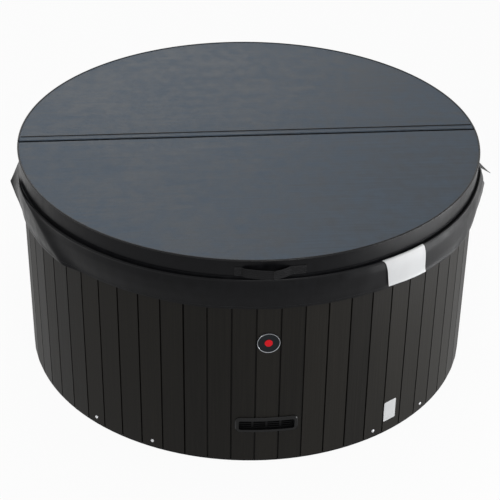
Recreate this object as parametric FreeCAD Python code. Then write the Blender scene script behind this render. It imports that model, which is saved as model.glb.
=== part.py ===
"""Round portable hot tub with a folding cover, as an assembly of separate parts.

Frame: origin at the middle of the base on the floor, +Z up, front towards -Y.
Azimuths are in degrees from the front and grow towards +X. Sizes are in millimetres.
"""
import FreeCAD
import Part
import math
import os

V = FreeCAD.Vector
ORIGIN = V(0, 0, 0)
UP = V(0, 0, 1)

# Driving dimensions
BODY_RADIUS = 930.0        # flat outer faces of the planks
PLANK_COUNT = 64
RIM_HEIGHT = 868.0         # top of the shell's rim, which carries the cover
COVER_RADIUS = 938.0
FOLD_THICKNESS = 80.0      # cover along its fold
EDGE_THICKNESS = 70.0      # cover at its front and rear edges
HEM_HEIGHT = 731.0         # lower edge of the cover's skirts
SEAT_COUNT = 5
SEAT_HEIGHT = 455.0
FOOTWELL_RADIUS = 440.0
FLOOR_HEIGHT = 115.0
WALL_RADIUS = 784.0        # water side of the backrest wall

# Cladding
PLANK_PITCH = 360.0 / PLANK_COUNT
HALF_PLANK = BODY_RADIUS * math.tan(math.radians(PLANK_PITCH / 2))
GROOVE_WIDTH = 6.0
GROOVE_FLOOR = 3.0
GROOVE_DEPTH = 6.0
CLADDING_INNER = BODY_RADIUS - 12.0
CLADDING_BOTTOM = 12.0
CLADDING_TOP = RIM_HEIGHT - 22.0
PANEL_JOINT = 0.6
PANELS = {
    "cladding_access_panel": (-3, 3),
    "cladding_right_panel": (4, 22),
    "cladding_back_panel": (23, 41),
    "cladding_left_panel": (42, 60),
}
SCREW_HEIGHT = 38.0
SCREW_SHANK = 2.5
SCREW_LENGTH = 24.0
SCREW_PLANKS = [side * plank for plank in (5, 8, 18, 21, 24, 27) for side in (-1, 1)]

# Fittings on the cladding
VENT_HEIGHT = 184.0
VENT_WIDTH = 244.0
VENT_TALL = 70.0
VENT_RIM = 14.0
VENT_BAR_COUNT = 3
VENT_SLAT_COUNT = 3
BADGE_HEIGHT = 572.0
BADGE_RADIUS = 44.0
BADGE_FACE_RADIUS = 40.5
BADGE_DOT_RADIUS = 15.0
OUTLET_HEIGHT = 110.0      # drain valve and cable gland
DRAIN_AZIMUTH = 180.0
DRAIN_BARREL = 20.0
GLAND_AZIMUTH = 112.5
GLAND_BARREL = 12.0
GLAND_BORE = 6.5           # seal that grips the cable
GLAND_THROAT = 8.5         # wider passage behind the seal

# Base, frame and blanket
BASE_THICKNESS = 12.0
FLANGE_INNER = BODY_RADIUS - 26.0
FLANGE_OUTER = BODY_RADIUS - 13.0
FLANGE_HEIGHT = 70.0
RIB_AZIMUTHS = range(60, 301, 30)
POST_AZIMUTHS = [side * azimuth for azimuth in (26, 50, 74, 98, 122, 146, 168) for side in (-1, 1)]
POST_INNER = BODY_RADIUS - 46.0
POST_OUTER = FLANGE_INNER - 0.5
POST_WIDTH = 40.0
RING_INNER = BODY_RADIUS - 48.0
RING_OUTER = BODY_RADIUS - 14.0
RING_BOTTOM = 822.0
BLANKET_INNER = BODY_RADIUS - 58.0
BLANKET_OUTER = BODY_RADIUS - 50.0
BLANKET_EDGE = 22.0

# Moulded shell
SHELL_WALL = 6.0
DECK_HEIGHT = RIM_HEIGHT - 28.0
RIM_INNER = BODY_RADIUS - 56.0
LIP_RADIUS = BODY_RADIUS + 8.0
LIP_BOTTOM = RIM_HEIGHT - 62.0
SEAT_AZIMUTHS = [360.0 / SEAT_COUNT * seat for seat in range(SEAT_COUNT)]
SEAT_HALF_WIDTH = 190.0
SEAT_BACK = WALL_RADIUS + 14.0
SEAT_DIP = 23.0
SCOOP_FRONT = 300.0
SCOOP_TOP = DECK_HEIGHT - 34.0

# Water fittings
JET_HEIGHT = 640.0
JET_BORE = 20.0
JET_BARREL = 27.0
JET_REACH = 36.0           # barrel behind the seat back
JET_FACE_RADIUS = 38.0
SMALL_JET_HEIGHT = 700.0
SMALL_JET_OFFSET = 100.0
SMALL_JET_BARREL = 15.0
SMALL_JET_REACH = 28.0
RUNNING_CLEARANCE = 0.08
HOLE_CLEARANCE = 0.3
MANIFOLD_RADIUS = 852.0
MANIFOLD_TUBE = 16.0
AIR_RING_RADIUS = 856.0
AIR_RING_TUBE = 9.0
AIR_RING_HEIGHT = 770.0
RISER_AZIMUTH = 25.0
RISER_BOTTOM = 420.0
SUCTION_AZIMUTH = 28.0
SUCTION_HEIGHTS = (215.0, 325.0)
SUCTION_BARREL = 22.0
SUCTION_HEADER = 500.0
LIGHT_HEIGHT = 300.0
LIGHT_BARREL = 18.0
FLOOR_DRAIN_BARREL = 24.5
DRAIN_PIPE_HEIGHT = 62.0
DRAIN_PIPE_RADIUS = 14.0
WELL_AZIMUTH = 180.0
WELL_DISTANCE = 625.0
WELL_RADIUS = 88.0
WELL_WALL = 4.0
WELL_BOTTOM = 172.0
PLEAT_COUNT = 40

# Deck controls
DECK_CONTROL_RADIUS = 826.0
VALVE_AZIMUTHS = {"air_knob_left": -36.0, "diverter_knob": 108.0, "air_knob_right": -108.0}
VALVE_BARREL = 18.0
VALVE_BOTTOM = 776.0
VALVE_FLANGE = 4.0
KNOB_STEM = 8.0
PANEL_AZIMUTH = 36.0
PANEL_DISTANCE = 829.0
PANEL_LENGTH = 130.0
PANEL_DEPTH = 52.0
PANEL_THICKNESS = 8.0
BUTTON_RADIUS = 7.5
BUTTON_SPACING = 34.0
BUTTON_POCKET = 13.0

# Equipment bay behind the access panel
PUMP_Y = -700.0
PUMP_Z = 112.0
HEATER_Y = -800.0
HEATER_Z = 330.0
PIPE_RADIUS = 24.0
PIPE_BEND = 40.0

# Cover
COVER_BOTTOM = RIM_HEIGHT + 0.4
FOLD_GAP = 5.0             # each half stops this far from the fold line
SKIN = 3.0
CORE_RADIUS = COVER_RADIUS - SKIN
SLOPE = math.degrees(math.atan((FOLD_THICKNESS - EDGE_THICKNESS) / COVER_RADIUS))
CHANNEL_HALF_LENGTH = 880.0
CHANNEL_DEPTH = 28.0
CHANNEL_SHEET = 2.0
WELT_RADIUS = 4.0
WELT_SIDES = 8
WELT_SINK = 1.5
CLOTH = 3.0
SKIRT_TOP = RIM_HEIGHT + 4.0
SKIRT_END = 89.55
FLARE_START = 70.0
SKIRT_FLARES = {"front": (24.0, 56.0), "rear": (56.0, 56.0)}     # at the left and right end of each hem
FLARE_SECTIONS = 6
FOLD_STRIP_WIDTH = 30.0
FOLD_STRIP_THICKNESS = 1.6
HANDLE_BOTTOM = RIM_HEIGHT + 5.0
HANDLE_HEIGHT = 38.0
HANDLE_TAB_END = 130.0
HANDLE_TAB_START = 88.0
HANDLE_KINK = 16.0
HANDLE_REACH = COVER_RADIUS + 29.0
HANDLE_STRAP = 4.0
TAG_AZIMUTH = 31.0
TAG_HALF_WIDTH = 98.0
TAG_LEAN = 40.0            # the lower edge hangs this far to the right
TAG_TOP = RIM_HEIGHT - 2.0
TAG_BOTTOM = 738.0
TAG_SHEET = 0.8


# Geometry helpers

def outward(azimuth):
    """Unit vector away from the tub's axis."""
    turn = math.radians(azimuth)
    return V(math.sin(turn), -math.cos(turn), 0)


def sideways(azimuth):
    """Unit vector along the tub's side, square to outward."""
    turn = math.radians(azimuth)
    return V(math.cos(turn), math.sin(turn), 0)


def plan_point(azimuth, lateral, distance, z=0.0):
    """Point given by its distance along an azimuth and its offset to the side."""
    return outward(azimuth) * distance + sideways(azimuth) * lateral + UP * z


def polar(radius, azimuth, z=0.0):
    """Point on a circle about the tub's axis."""
    return plan_point(azimuth, 0.0, radius, z)


def turned(shape, azimuth):
    """Copy of a shape turned about the tub's axis."""
    return shape.rotated(ORIGIN, UP, azimuth)


def filleted_edges(points, radii, closed):
    """Straight edges through the points, with a tangent arc at each corner that has a radius."""
    count = len(points)
    entries = []
    exits = []
    middles = []
    for i, corner in enumerate(points):
        loose_end = not closed and i in (0, count - 1)
        if radii[i] == 0 or loose_end:
            entries.append(corner)
            exits.append(corner)
            middles.append(None)
            continue
        before = (points[i - 1] - corner).normalize()
        after = (points[(i + 1) % count] - corner).normalize()
        half = before.getAngle(after) / 2
        reach = radii[i] / math.tan(half)
        inset = radii[i] / math.sin(half) - radii[i]
        entries.append(corner + before * reach)
        exits.append(corner + after * reach)
        middles.append(corner + (before + after).normalize() * inset)
    edges = []
    for i in range(count):
        if middles[i] is not None:
            edges.append(Part.Arc(entries[i], middles[i], exits[i]).toShape())
        if closed or i < count - 1:
            edges.append(Part.LineSegment(exits[i], entries[(i + 1) % count]).toShape())
    return edges


def outline(points, radii=None):
    """Closed face on a flat set of corners, each with its fillet radius."""
    return Part.Face(Part.Wire(filleted_edges(points, radii or [0] * len(points), True)))


def profile_face(profile):
    """Face in the XZ plane from (radius, height) or (radius, height, fillet) corners."""
    points = [V(corner[0], 0, corner[1]) for corner in profile]
    radii = [corner[2] if len(corner) > 2 else 0 for corner in profile]
    return outline(points, radii)


def revolved(profile):
    """Full revolve of a profile about the tub's axis."""
    return profile_face(profile).revolve(ORIGIN, UP, 360)


def revolved_arc(profile, start, end):
    """Revolve of a profile about the tub's axis between two azimuths."""
    return turned(profile_face(profile).revolve(ORIGIN, UP, end - start), start - 90)


def lathe(profile, base, direction):
    """Revolve of a (radius, along) profile about an axis through base."""
    shape = revolved(profile)
    shape.Placement = FreeCAD.Placement(base, FreeCAD.Rotation(UP, direction))
    return shape


def rod(start, end, radius):
    """Round bar between two points."""
    return Part.makeCylinder(radius, (end - start).Length, start, end - start)


def radial_rod(azimuth, z, radius, start, end):
    """Round bar along an azimuth between two radii."""
    return rod(polar(start, azimuth, z), polar(end, azimuth, z), radius)


def ring(inner, outer, bottom, top):
    """Tube about the tub's axis."""
    tall = top - bottom
    base = V(0, 0, bottom)
    return Part.makeCylinder(outer, tall, base).cut(Part.makeCylinder(inner, tall, base))


def block(low, high):
    """Box between two corners."""
    size = V(*high) - V(*low)
    return Part.makeBox(size.x, size.y, size.z, V(*low))


def torus(major, minor, z):
    """Round tube bent into a ring about the tub's axis."""
    return Part.makeTorus(major, minor, V(0, 0, z))


def bent_pipe(points, radius, bend):
    """Round pipe along straight runs joined by tangent bends."""
    path = Part.Wire(filleted_edges(points, [bend] * len(points), False))
    section = Part.Wire(Part.makeCircle(radius, points[0], points[1] - points[0]))
    return path.makePipeShell([section], True, False)


def fused(shapes):
    """One solid from overlapping shapes."""
    return shapes[0].multiFuse(shapes[1:]).removeSplitter()


def group(shapes):
    """Separate solids kept together in one part."""
    return Part.makeCompound(shapes)


# Base and frame

def make_base_pan():
    """Moulded floor pan with an upstanding flange for the cladding and radial ribs."""
    foot = BODY_RADIUS - 2.0
    pan = revolved([
        (0, 0), (foot - 4, 0), (foot, 4), (foot, BASE_THICKNESS), (FLANGE_OUTER, BASE_THICKNESS),
        (FLANGE_OUTER, FLANGE_HEIGHT), (FLANGE_INNER, FLANGE_HEIGHT), (FLANGE_INNER, BASE_THICKNESS),
        (0, BASE_THICKNESS),
    ])
    rib = block((-8, -868, BASE_THICKNESS / 2), (8, -440, 2 * BASE_THICKNESS))
    pan = fused([pan, *(turned(rib, azimuth) for azimuth in RIB_AZIMUTHS)])
    screw_end = BODY_RADIUS - SCREW_LENGTH
    pilots = [radial_rod(plank * PLANK_PITCH, SCREW_HEIGHT, SCREW_SHANK, screw_end, BODY_RADIUS)
              for plank in SCREW_PLANKS]
    return pan.cut(pilots)


def make_footwell_block():
    """Foam ring under the footwell floor, slotted for the drain pipe."""
    support = ring(40, 390, BASE_THICKNESS, FLOOR_HEIGHT - SHELL_WALL)
    slot = block((-20, 0, DRAIN_PIPE_HEIGHT - 20), (20, 400, FLOOR_HEIGHT))
    return support.cut(slot)


def make_frame():
    """Posts on the base pan and the ring beam under the rim, as one welded frame."""
    half = POST_WIDTH / 2
    post = block((-half, -POST_OUTER, BASE_THICKNESS), (half, -POST_INNER, RING_BOTTOM + 1))
    posts = [turned(post, azimuth) for azimuth in POST_AZIMUTHS]
    beam = ring(RING_INNER, RING_OUTER, RING_BOTTOM, RIM_HEIGHT - SHELL_WALL)
    return fused([beam, *posts])


def make_insulation_blanket():
    """Blanket inside the posts, open at the equipment bay and holed for the drain pipe and cable."""
    profile = [(BLANKET_INNER, 30), (BLANKET_OUTER, 30), (BLANKET_OUTER, RING_BOTTOM - 2),
               (BLANKET_INNER, RING_BOTTOM - 2)]
    blanket = revolved_arc(profile, BLANKET_EDGE, 360 - BLANKET_EDGE)
    passages = ((DRAIN_AZIMUTH, DRAIN_PIPE_RADIUS + 2), (GLAND_AZIMUTH, GLAND_BARREL))
    return blanket.cut([radial_rod(azimuth, OUTLET_HEIGHT, radius, BLANKET_INNER - 20, BLANKET_OUTER + 20)
                        for azimuth, radius in passages])


# Cladding and what is mounted on it

def plank_outline(first, last):
    """Plan of a run of planks: flat faces, a groove between neighbours, round inside."""
    left_edge = (first - 0.5) * PLANK_PITCH
    right_edge = (last + 0.5) * PLANK_PITCH
    floor = BODY_RADIUS - GROOVE_DEPTH
    points = [plan_point(left_edge, PANEL_JOINT / 2, floor)]
    for plank in range(first, last + 1):
        azimuth = plank * PLANK_PITCH
        mouth = HALF_PLANK - GROOVE_WIDTH / 2
        foot = HALF_PLANK - GROOVE_FLOOR / 2
        points += [plan_point(azimuth, -foot, floor), plan_point(azimuth, -mouth, BODY_RADIUS),
                   plan_point(azimuth, mouth, BODY_RADIUS), plan_point(azimuth, foot, floor)]
    points += [plan_point(right_edge, -PANEL_JOINT / 2, floor),
               plan_point(right_edge, -PANEL_JOINT / 2, CLADDING_INNER)]
    start = plan_point(left_edge, PANEL_JOINT / 2, CLADDING_INNER)
    middle = polar(CLADDING_INNER, (left_edge + right_edge) / 2)
    edges = [Part.LineSegment(a, b).toShape() for a, b in zip([start, *points], points)]
    edges.append(Part.Arc(points[-1], middle, start).toShape())
    return Part.Face(Part.Wire(edges))


def cladding_holes():
    """Holes for the screws, the drain valve, the cable gland and the vent."""
    start = CLADDING_INNER - 20
    end = BODY_RADIUS + 20
    holes = [radial_rod(plank * PLANK_PITCH, SCREW_HEIGHT, SCREW_SHANK + HOLE_CLEARANCE, start, end)
             for plank in SCREW_PLANKS]
    holes.append(radial_rod(DRAIN_AZIMUTH, OUTLET_HEIGHT, DRAIN_BARREL + HOLE_CLEARANCE, start, end))
    holes.append(radial_rod(GLAND_AZIMUTH, OUTLET_HEIGHT, GLAND_BARREL + HOLE_CLEARANCE, start, end))
    holes.append(vent_prism(VENT_WIDTH - 1.6 * VENT_RIM, VENT_TALL - 1.6 * VENT_RIM, 11))
    return holes


def make_cladding_panel(name):
    """One screwed-on panel of upright planks."""
    face = plank_outline(*PANELS[name])
    panel = face.extrude(UP * (CLADDING_TOP - CLADDING_BOTTOM))
    panel.translate(UP * CLADDING_BOTTOM)
    return panel.cut(cladding_holes())


def make_cladding_screws():
    """Dome-head screws through the foot of the cladding into the base flange."""
    shank = [(0, -SCREW_LENGTH), (SCREW_SHANK, -SCREW_LENGTH), (SCREW_SHANK, 0)]
    profile = shank + [(7, 0), (6, 2.2), (3, 3.6), (0, 4)]
    return group([lathe(profile, polar(BODY_RADIUS, plank * PLANK_PITCH, SCREW_HEIGHT),
                        outward(plank * PLANK_PITCH)) for plank in SCREW_PLANKS])


def vent_prism(width, tall, corner):
    """Rounded bar along Y through the front of the tub, on the vent's axis."""
    near = -(CLADDING_INNER - 40)
    sides = ((-1, -1), (1, -1), (1, 1), (-1, 1))
    points = [V(x * width / 2, near, VENT_HEIGHT + z * tall / 2) for x, z in sides]
    return outline(points, [corner] * 4).extrude(V(0, -100, 0))


def vent_ring(inner, outer):
    """Curved layer of the vent, which follows the tub's side."""
    return ring(inner, outer, VENT_HEIGHT - VENT_TALL, VENT_HEIGHT + VENT_TALL)


def make_vent_bezel():
    """Bevelled surround of the vent with a collar through the cladding."""
    inner = BODY_RADIUS + 1.3
    outer = BODY_RADIUS + 7.0
    plate = vent_prism(VENT_WIDTH, VENT_TALL, 20).common(vent_ring(inner, outer))
    rim = [edge for edge in plate.Edges
           if all(abs(math.hypot(v.X, v.Y) - outer) < 0.01 for v in edge.Vertexes)]
    plate = plate.makeChamfer(4.0, rim)
    collar = vent_prism(VENT_WIDTH - 1.7 * VENT_RIM, VENT_TALL - 1.7 * VENT_RIM, 10)
    collar = collar.common(vent_ring(CLADDING_INNER - 6, inner + 2))
    return fused([plate, collar]).cut(vent_prism(VENT_WIDTH - 2 * VENT_RIM, VENT_TALL - 2 * VENT_RIM, 8))


def make_vent_grille():
    """Recessed grille: upright bars between windows, each with thin level slats."""
    opening = VENT_WIDTH - 2 * VENT_RIM
    tall = VENT_TALL - 2 * VENT_RIM
    plate = vent_prism(opening, tall, 8).common(vent_ring(CLADDING_INNER - 4, CLADDING_INNER + 4))
    bar = 8.0
    frame = 4.0
    slat = 3.0
    window_count = VENT_BAR_COUNT + 1
    window = (opening - 2 * frame - VENT_BAR_COUNT * bar) / window_count
    gap = (tall - 2 * frame - VENT_SLAT_COUNT * slat) / (VENT_SLAT_COUNT + 1)
    cuts = []
    for column in range(window_count):
        x = -opening / 2 + frame + column * (window + bar)
        for row in range(VENT_SLAT_COUNT + 1):
            z = VENT_HEIGHT - tall / 2 + frame + row * (gap + slat)
            cuts.append(block((x, -CLADDING_INNER - 20, z), (x + window, -CLADDING_INNER + 40, z + gap)))
    return plate.cut(cuts)


def on_front_plank(profile, z):
    """Turned fitting on the flat face of the front plank."""
    return lathe(profile, polar(BODY_RADIUS, 0, z), outward(0))


def make_badge_ring():
    """Bright round ring of the front badge."""
    inner = BADGE_FACE_RADIUS
    outer = BADGE_RADIUS
    profile = [(inner, 0), (outer, 0), (outer, 5), (outer - 1.2, 7), (inner + 0.8, 7), (inner, 6)]
    return on_front_plank(profile, BADGE_HEIGHT)


def make_badge_face():
    """Plain dark disc inside the badge's ring."""
    return on_front_plank([(0, 0), (BADGE_FACE_RADIUS, 0), (BADGE_FACE_RADIUS, 4), (0, 5)], BADGE_HEIGHT)


def make_badge_dot():
    """Raised plain dot in the middle of the badge."""
    radius = BADGE_DOT_RADIUS
    face_drop = radius / BADGE_FACE_RADIUS
    return on_front_plank([(0, 5), (radius, 5 - face_drop), (radius, 6), (0, 7)], BADGE_HEIGHT)


def make_cable_gland():
    """Gland for the supply cable, with its inner lock nut."""
    inside = CLADDING_INNER - BODY_RADIUS
    tail = inside - 14
    body = [(GLAND_THROAT, tail), (GLAND_BARREL, tail), (GLAND_BARREL, 0), (20, 0), (20, 8), (17, 8),
            (17, 18, 6), (GLAND_BORE + 2, 27), (GLAND_BORE, 27), (GLAND_BORE, 1), (GLAND_THROAT, 1)]
    nut = [(GLAND_BARREL, inside - 9), (19, inside - 9), (19, inside - 1), (GLAND_BARREL, inside - 1)]
    place = polar(BODY_RADIUS, GLAND_AZIMUTH, OUTLET_HEIGHT)
    return group([lathe(profile, place, outward(GLAND_AZIMUTH)) for profile in (body, nut)])


# Moulded shell

def make_inner_shell():
    """One-piece tub: footwell, bench with five scooped seats, deck, rim and turned-down lip."""
    water_side = [
        (0, FLOOR_HEIGHT), (FOOTWELL_RADIUS, FLOOR_HEIGHT, 45), (FOOTWELL_RADIUS, SEAT_HEIGHT, 30),
        (WALL_RADIUS, SEAT_HEIGHT, 30), (WALL_RADIUS, DECK_HEIGHT, 16), (RIM_INNER - 8, DECK_HEIGHT, 6),
        (RIM_INNER, RIM_HEIGHT, 6), (LIP_RADIUS, RIM_HEIGHT, 12), (LIP_RADIUS, LIP_BOTTOM),
    ]
    wall = SHELL_WALL
    underside = [
        (LIP_RADIUS - wall, LIP_BOTTOM), (LIP_RADIUS - wall, RIM_HEIGHT - wall, 4),
        (RIM_INNER + 4.5, RIM_HEIGHT - wall), (RIM_INNER - 3.5, DECK_HEIGHT - wall),
        (WALL_RADIUS + wall, DECK_HEIGHT - wall, 16 - wall),
        (WALL_RADIUS + wall, SEAT_HEIGHT - wall, 30 + wall),
        (FOOTWELL_RADIUS + wall, SEAT_HEIGHT - wall, 30 - wall),
        (FOOTWELL_RADIUS + wall, FLOOR_HEIGHT - wall, 45 + wall), (0, FLOOR_HEIGHT - wall),
    ]
    sheet = revolved(water_side + underside)
    water = revolved([*water_side[:4], (WALL_RADIUS, RIM_HEIGHT), (0, RIM_HEIGHT)])
    outer_scoops = [seat_scoop(azimuth, wall).cut(water) for azimuth in SEAT_AZIMUTHS]
    inner_scoops = [seat_scoop(azimuth, 0.0) for azimuth in SEAT_AZIMUTHS]
    shell = sheet.multiFuse(outer_scoops).cut(inner_scoops)
    return shell.cut(shell_holes())


def seat_scoop(azimuth, grow):
    """Rounded box of one seat and its flat back, grown outwards by a wall thickness."""
    half = SEAT_HALF_WIDTH + grow
    back = SEAT_BACK + grow
    bottom = SEAT_HEIGHT - SEAT_DIP - grow
    corners = ((-half, SCOOP_FRONT), (half, SCOOP_FRONT), (half, back), (-half, back))
    points = [plan_point(0, lateral, distance, bottom) for lateral, distance in corners]
    scoop = outline(points, [0, 0, 60 + grow, 60 + grow]).extrude(UP * (SCOOP_TOP + grow - bottom))
    floor_edges = [edge for edge in scoop.Edges
                   if edge.BoundBox.ZMax < bottom + 0.1 and edge.CenterOfMass.y < -SCOOP_FRONT - 0.1]
    return turned(scoop.makeFillet(25 + grow, floor_edges), azimuth)


def shell_holes():
    """Holes for the jets, suctions, light, floor drain, filter well and deck controls."""
    holes = []
    for azimuth in SEAT_AZIMUTHS:
        for lateral, z, barrel in jet_layout():
            start = plan_point(azimuth, lateral, SEAT_BACK - 20, z)
            holes.append(rod(start, start + outward(azimuth) * 60, barrel + HOLE_CLEARANCE))
    well_start, well_end = FOOTWELL_RADIUS - 30, FOOTWELL_RADIUS + 30
    for z in SUCTION_HEIGHTS:
        holes.append(radial_rod(SUCTION_AZIMUTH, z, SUCTION_BARREL + HOLE_CLEARANCE, well_start, well_end))
    holes.append(radial_rod(WELL_AZIMUTH, LIGHT_HEIGHT, LIGHT_BARREL + HOLE_CLEARANCE, well_start, well_end))
    holes.append(Part.makeCylinder(FLOOR_DRAIN_BARREL + HOLE_CLEARANCE, 60, V(0, 0, FLOOR_HEIGHT - 30)))
    well_base = polar(WELL_DISTANCE, WELL_AZIMUTH, SEAT_HEIGHT - 30)
    holes.append(Part.makeCylinder(WELL_RADIUS + WELL_WALL + HOLE_CLEARANCE, 60, well_base))
    for azimuth in VALVE_AZIMUTHS.values():
        base = polar(DECK_CONTROL_RADIUS, azimuth, DECK_HEIGHT - 20)
        holes.append(Part.makeCylinder(VALVE_BARREL + HOLE_CLEARANCE, 40, base))
    panel_body = panel_block(PANEL_LENGTH - 16 + 2 * HOLE_CLEARANCE, PANEL_DEPTH - 16 + 2 * HOLE_CLEARANCE,
                             DECK_HEIGHT - 20, DECK_HEIGHT + 20)
    holes.append(panel_body)
    return holes


def jet_layout():
    """Offset, height and barrel radius of one turning jet and two small jets of a seat."""
    return [(0.0, JET_HEIGHT, JET_BARREL), (-SMALL_JET_OFFSET, SMALL_JET_HEIGHT, SMALL_JET_BARREL),
            (SMALL_JET_OFFSET, SMALL_JET_HEIGHT, SMALL_JET_BARREL)]


# Jets, suctions, light and drain

def make_jet_bodies():
    """Body of each turning jet through its seat back, with its clamping nut."""
    body = [(JET_BORE, -6), (42, -6), (42, 0), (JET_BARREL, 0), (JET_BARREL, JET_REACH), (8, JET_REACH),
            (8, JET_REACH - 3), (JET_BORE, JET_REACH - 3)]
    nut = [(JET_BARREL, SHELL_WALL), (37, SHELL_WALL), (37, SHELL_WALL + 12), (JET_BARREL, SHELL_WALL + 12)]
    return group([lathe(profile, plan_point(azimuth, 0, SEAT_BACK, JET_HEIGHT), outward(azimuth))
                  for azimuth in SEAT_AZIMUTHS for profile in (body, nut)])


def make_jet_face(seat):
    """Turning face of a jet: scalloped grip ring, hollow middle and two slanted nozzles."""
    stem = JET_BORE - RUNNING_CLEARANCE
    profile = [(0, -12), (20, -14), (28, -21), (34, -21, 3), (JET_FACE_RADIUS, -14), (JET_FACE_RADIUS, -6.4),
               (stem, -6.4), (stem, 17), (0, 17)]
    face = lathe(profile, ORIGIN, UP)
    cuts = [rod(V(side * 8, 0, -30), V(side * 12, 0, 30), 5.5) for side in (-1, 1)]
    for scallop in range(8):
        foot = polar(JET_FACE_RADIUS + 4, 45 * scallop, -30)
        cuts.append(rod(foot, foot + UP * 40, 7))
    face = face.cut(cuts)
    azimuth = SEAT_AZIMUTHS[seat]
    place = plan_point(azimuth, 0, SEAT_BACK, JET_HEIGHT)
    face.Placement = FreeCAD.Placement(place, FreeCAD.Rotation(UP, outward(azimuth)))
    return face


def make_small_jets():
    """Fixed small jets, two on each seat back, with their clamping nuts."""
    barrel = SMALL_JET_BARREL
    reach = SMALL_JET_REACH
    nut_end = SHELL_WALL + 8
    body = [(6, -4), (14, -4), (26, -2), (26, 0), (barrel, 0), (barrel, reach), (6, reach)]
    nut = [(barrel, SHELL_WALL), (22, SHELL_WALL), (22, nut_end), (barrel, nut_end)]
    jets = []
    for azimuth in SEAT_AZIMUTHS:
        for side in (-1, 1):
            place = plan_point(azimuth, side * SMALL_JET_OFFSET, SEAT_BACK, SMALL_JET_HEIGHT)
            jets += [lathe(profile, place, outward(azimuth)) for profile in (body, nut)]
    return group(jets)


def make_manifolds():
    """Water manifold behind the jets and the air line above it."""
    water = [torus(MANIFOLD_RADIUS, MANIFOLD_TUBE, z) for z in (JET_HEIGHT, SMALL_JET_HEIGHT)]
    for azimuth in SEAT_AZIMUTHS:
        for lateral, z, barrel in jet_layout():
            reach = JET_REACH if barrel == JET_BARREL else SMALL_JET_REACH
            start = plan_point(azimuth, lateral, SEAT_BACK + reach, z)
            end = plan_point(azimuth, lateral, math.sqrt(MANIFOLD_RADIUS**2 - lateral**2), z)
            water.append(rod(start, end, 10))
    for azimuth in (-36, 36):
        water.append(rod(polar(MANIFOLD_RADIUS, azimuth, JET_HEIGHT),
                         polar(MANIFOLD_RADIUS, azimuth, SMALL_JET_HEIGHT), 12))
    water.append(rod(polar(MANIFOLD_RADIUS, RISER_AZIMUTH, RISER_BOTTOM),
                     polar(MANIFOLD_RADIUS, RISER_AZIMUTH, JET_HEIGHT), MANIFOLD_TUBE))
    air = [torus(AIR_RING_RADIUS, AIR_RING_TUBE, AIR_RING_HEIGHT)]
    for azimuth in VALVE_AZIMUTHS.values():
        start = DECK_CONTROL_RADIUS + VALVE_BARREL
        lift = AIR_RING_HEIGHT + 18
        elbow = [polar(start, azimuth, lift), polar(AIR_RING_RADIUS, azimuth, lift),
                 polar(AIR_RING_RADIUS, azimuth, AIR_RING_HEIGHT)]
        air.append(bent_pipe(elbow, 5, 6))
    return group([fused(water), fused(air)])


def make_suction_grilles():
    """Two domed suction covers on the footwell wall, with their pipe tails."""
    bowl = Part.makeCylinder(FOOTWELL_RADIUS, RIM_HEIGHT)
    tail_end = SUCTION_HEADER - PIPE_RADIUS - FOOTWELL_RADIUS
    profile = [(0, -14), (30, -11), (46, -3), (46, 12), (0, 12)]
    tail = [(14, 0), (SUCTION_BARREL, 0), (SUCTION_BARREL, tail_end), (14, tail_end)]
    grilles = []
    for z in SUCTION_HEIGHTS:
        place = polar(FOOTWELL_RADIUS, SUCTION_AZIMUTH, z)
        direction = outward(SUCTION_AZIMUTH)
        dome = lathe(profile, place, direction).common(bowl)
        cover = fused([dome, lathe(tail, place - direction * 2, direction)])
        slots = []
        for row in range(-2, 3):
            half = 34 - 6 * abs(row)
            low = z + 12 * row - 2.5
            slot = block((-half, -FOOTWELL_RADIUS + 6, low), (half, -FOOTWELL_RADIUS + 40, low + 5))
            slots.append(turned(slot, SUCTION_AZIMUTH))
        grilles.append(cover.cut(slots))
    return group(grilles)


def make_footwell_light():
    """Round light in the footwell wall, with its housing behind."""
    bowl = Part.makeCylinder(FOOTWELL_RADIUS, RIM_HEIGHT)
    place = polar(FOOTWELL_RADIUS, WELL_AZIMUTH, LIGHT_HEIGHT)
    lens = [(0, -16), (24, -13), (36, -5), (44, -3), (44, 12), (0, 12)]
    housing = [(0, -2), (LIGHT_BARREL, -2), (LIGHT_BARREL, 40), (0, 40)]
    direction = outward(WELL_AZIMUTH)
    return fused([lathe(lens, place, direction).common(bowl), lathe(housing, place, direction)])


def make_floor_drain():
    """Drain in the footwell floor and its pipe to the valve at the back."""
    grate = revolved([(0, FLOOR_HEIGHT), (40, FLOOR_HEIGHT), (38, FLOOR_HEIGHT + 3), (0, FLOOR_HEIGHT + 4)])
    slot = block((-2, -34, FLOOR_HEIGHT - 10), (2, -12, FLOOR_HEIGHT + 10))
    slots = [turned(slot, 45 * turn) for turn in range(8)]
    barrel = rod(V(0, 0, DRAIN_PIPE_HEIGHT + 10), V(0, 0, FLOOR_HEIGHT + 1), FLOOR_DRAIN_BARREL)
    route = [V(0, 0, DRAIN_PIPE_HEIGHT + 40), V(0, 0, DRAIN_PIPE_HEIGHT), V(0, 740, DRAIN_PIPE_HEIGHT),
             V(0, 800, OUTLET_HEIGHT), V(0, BODY_RADIUS - 42, OUTLET_HEIGHT)]
    pipe = bent_pipe(route, DRAIN_PIPE_RADIUS, 30)
    return fused([grate, barrel, pipe]).cut(slots)


def make_drain_valve():
    """Outlet of the drain through the back of the cladding, with its lock nut."""
    inside = CLADDING_INNER - BODY_RADIUS
    bore = DRAIN_BARREL - 4
    barrel = DRAIN_BARREL
    body = [(0, -42), (barrel, -42), (barrel, 0), (27, 0), (27, 6), (bore, 6), (bore, -22), (0, -22)]
    nut = [(barrel, inside - 9), (29, inside - 9), (29, inside - 1), (barrel, inside - 1)]
    place = polar(BODY_RADIUS, DRAIN_AZIMUTH, OUTLET_HEIGHT)
    return group([lathe(profile, place, outward(DRAIN_AZIMUTH)) for profile in (body, nut)])


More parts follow.
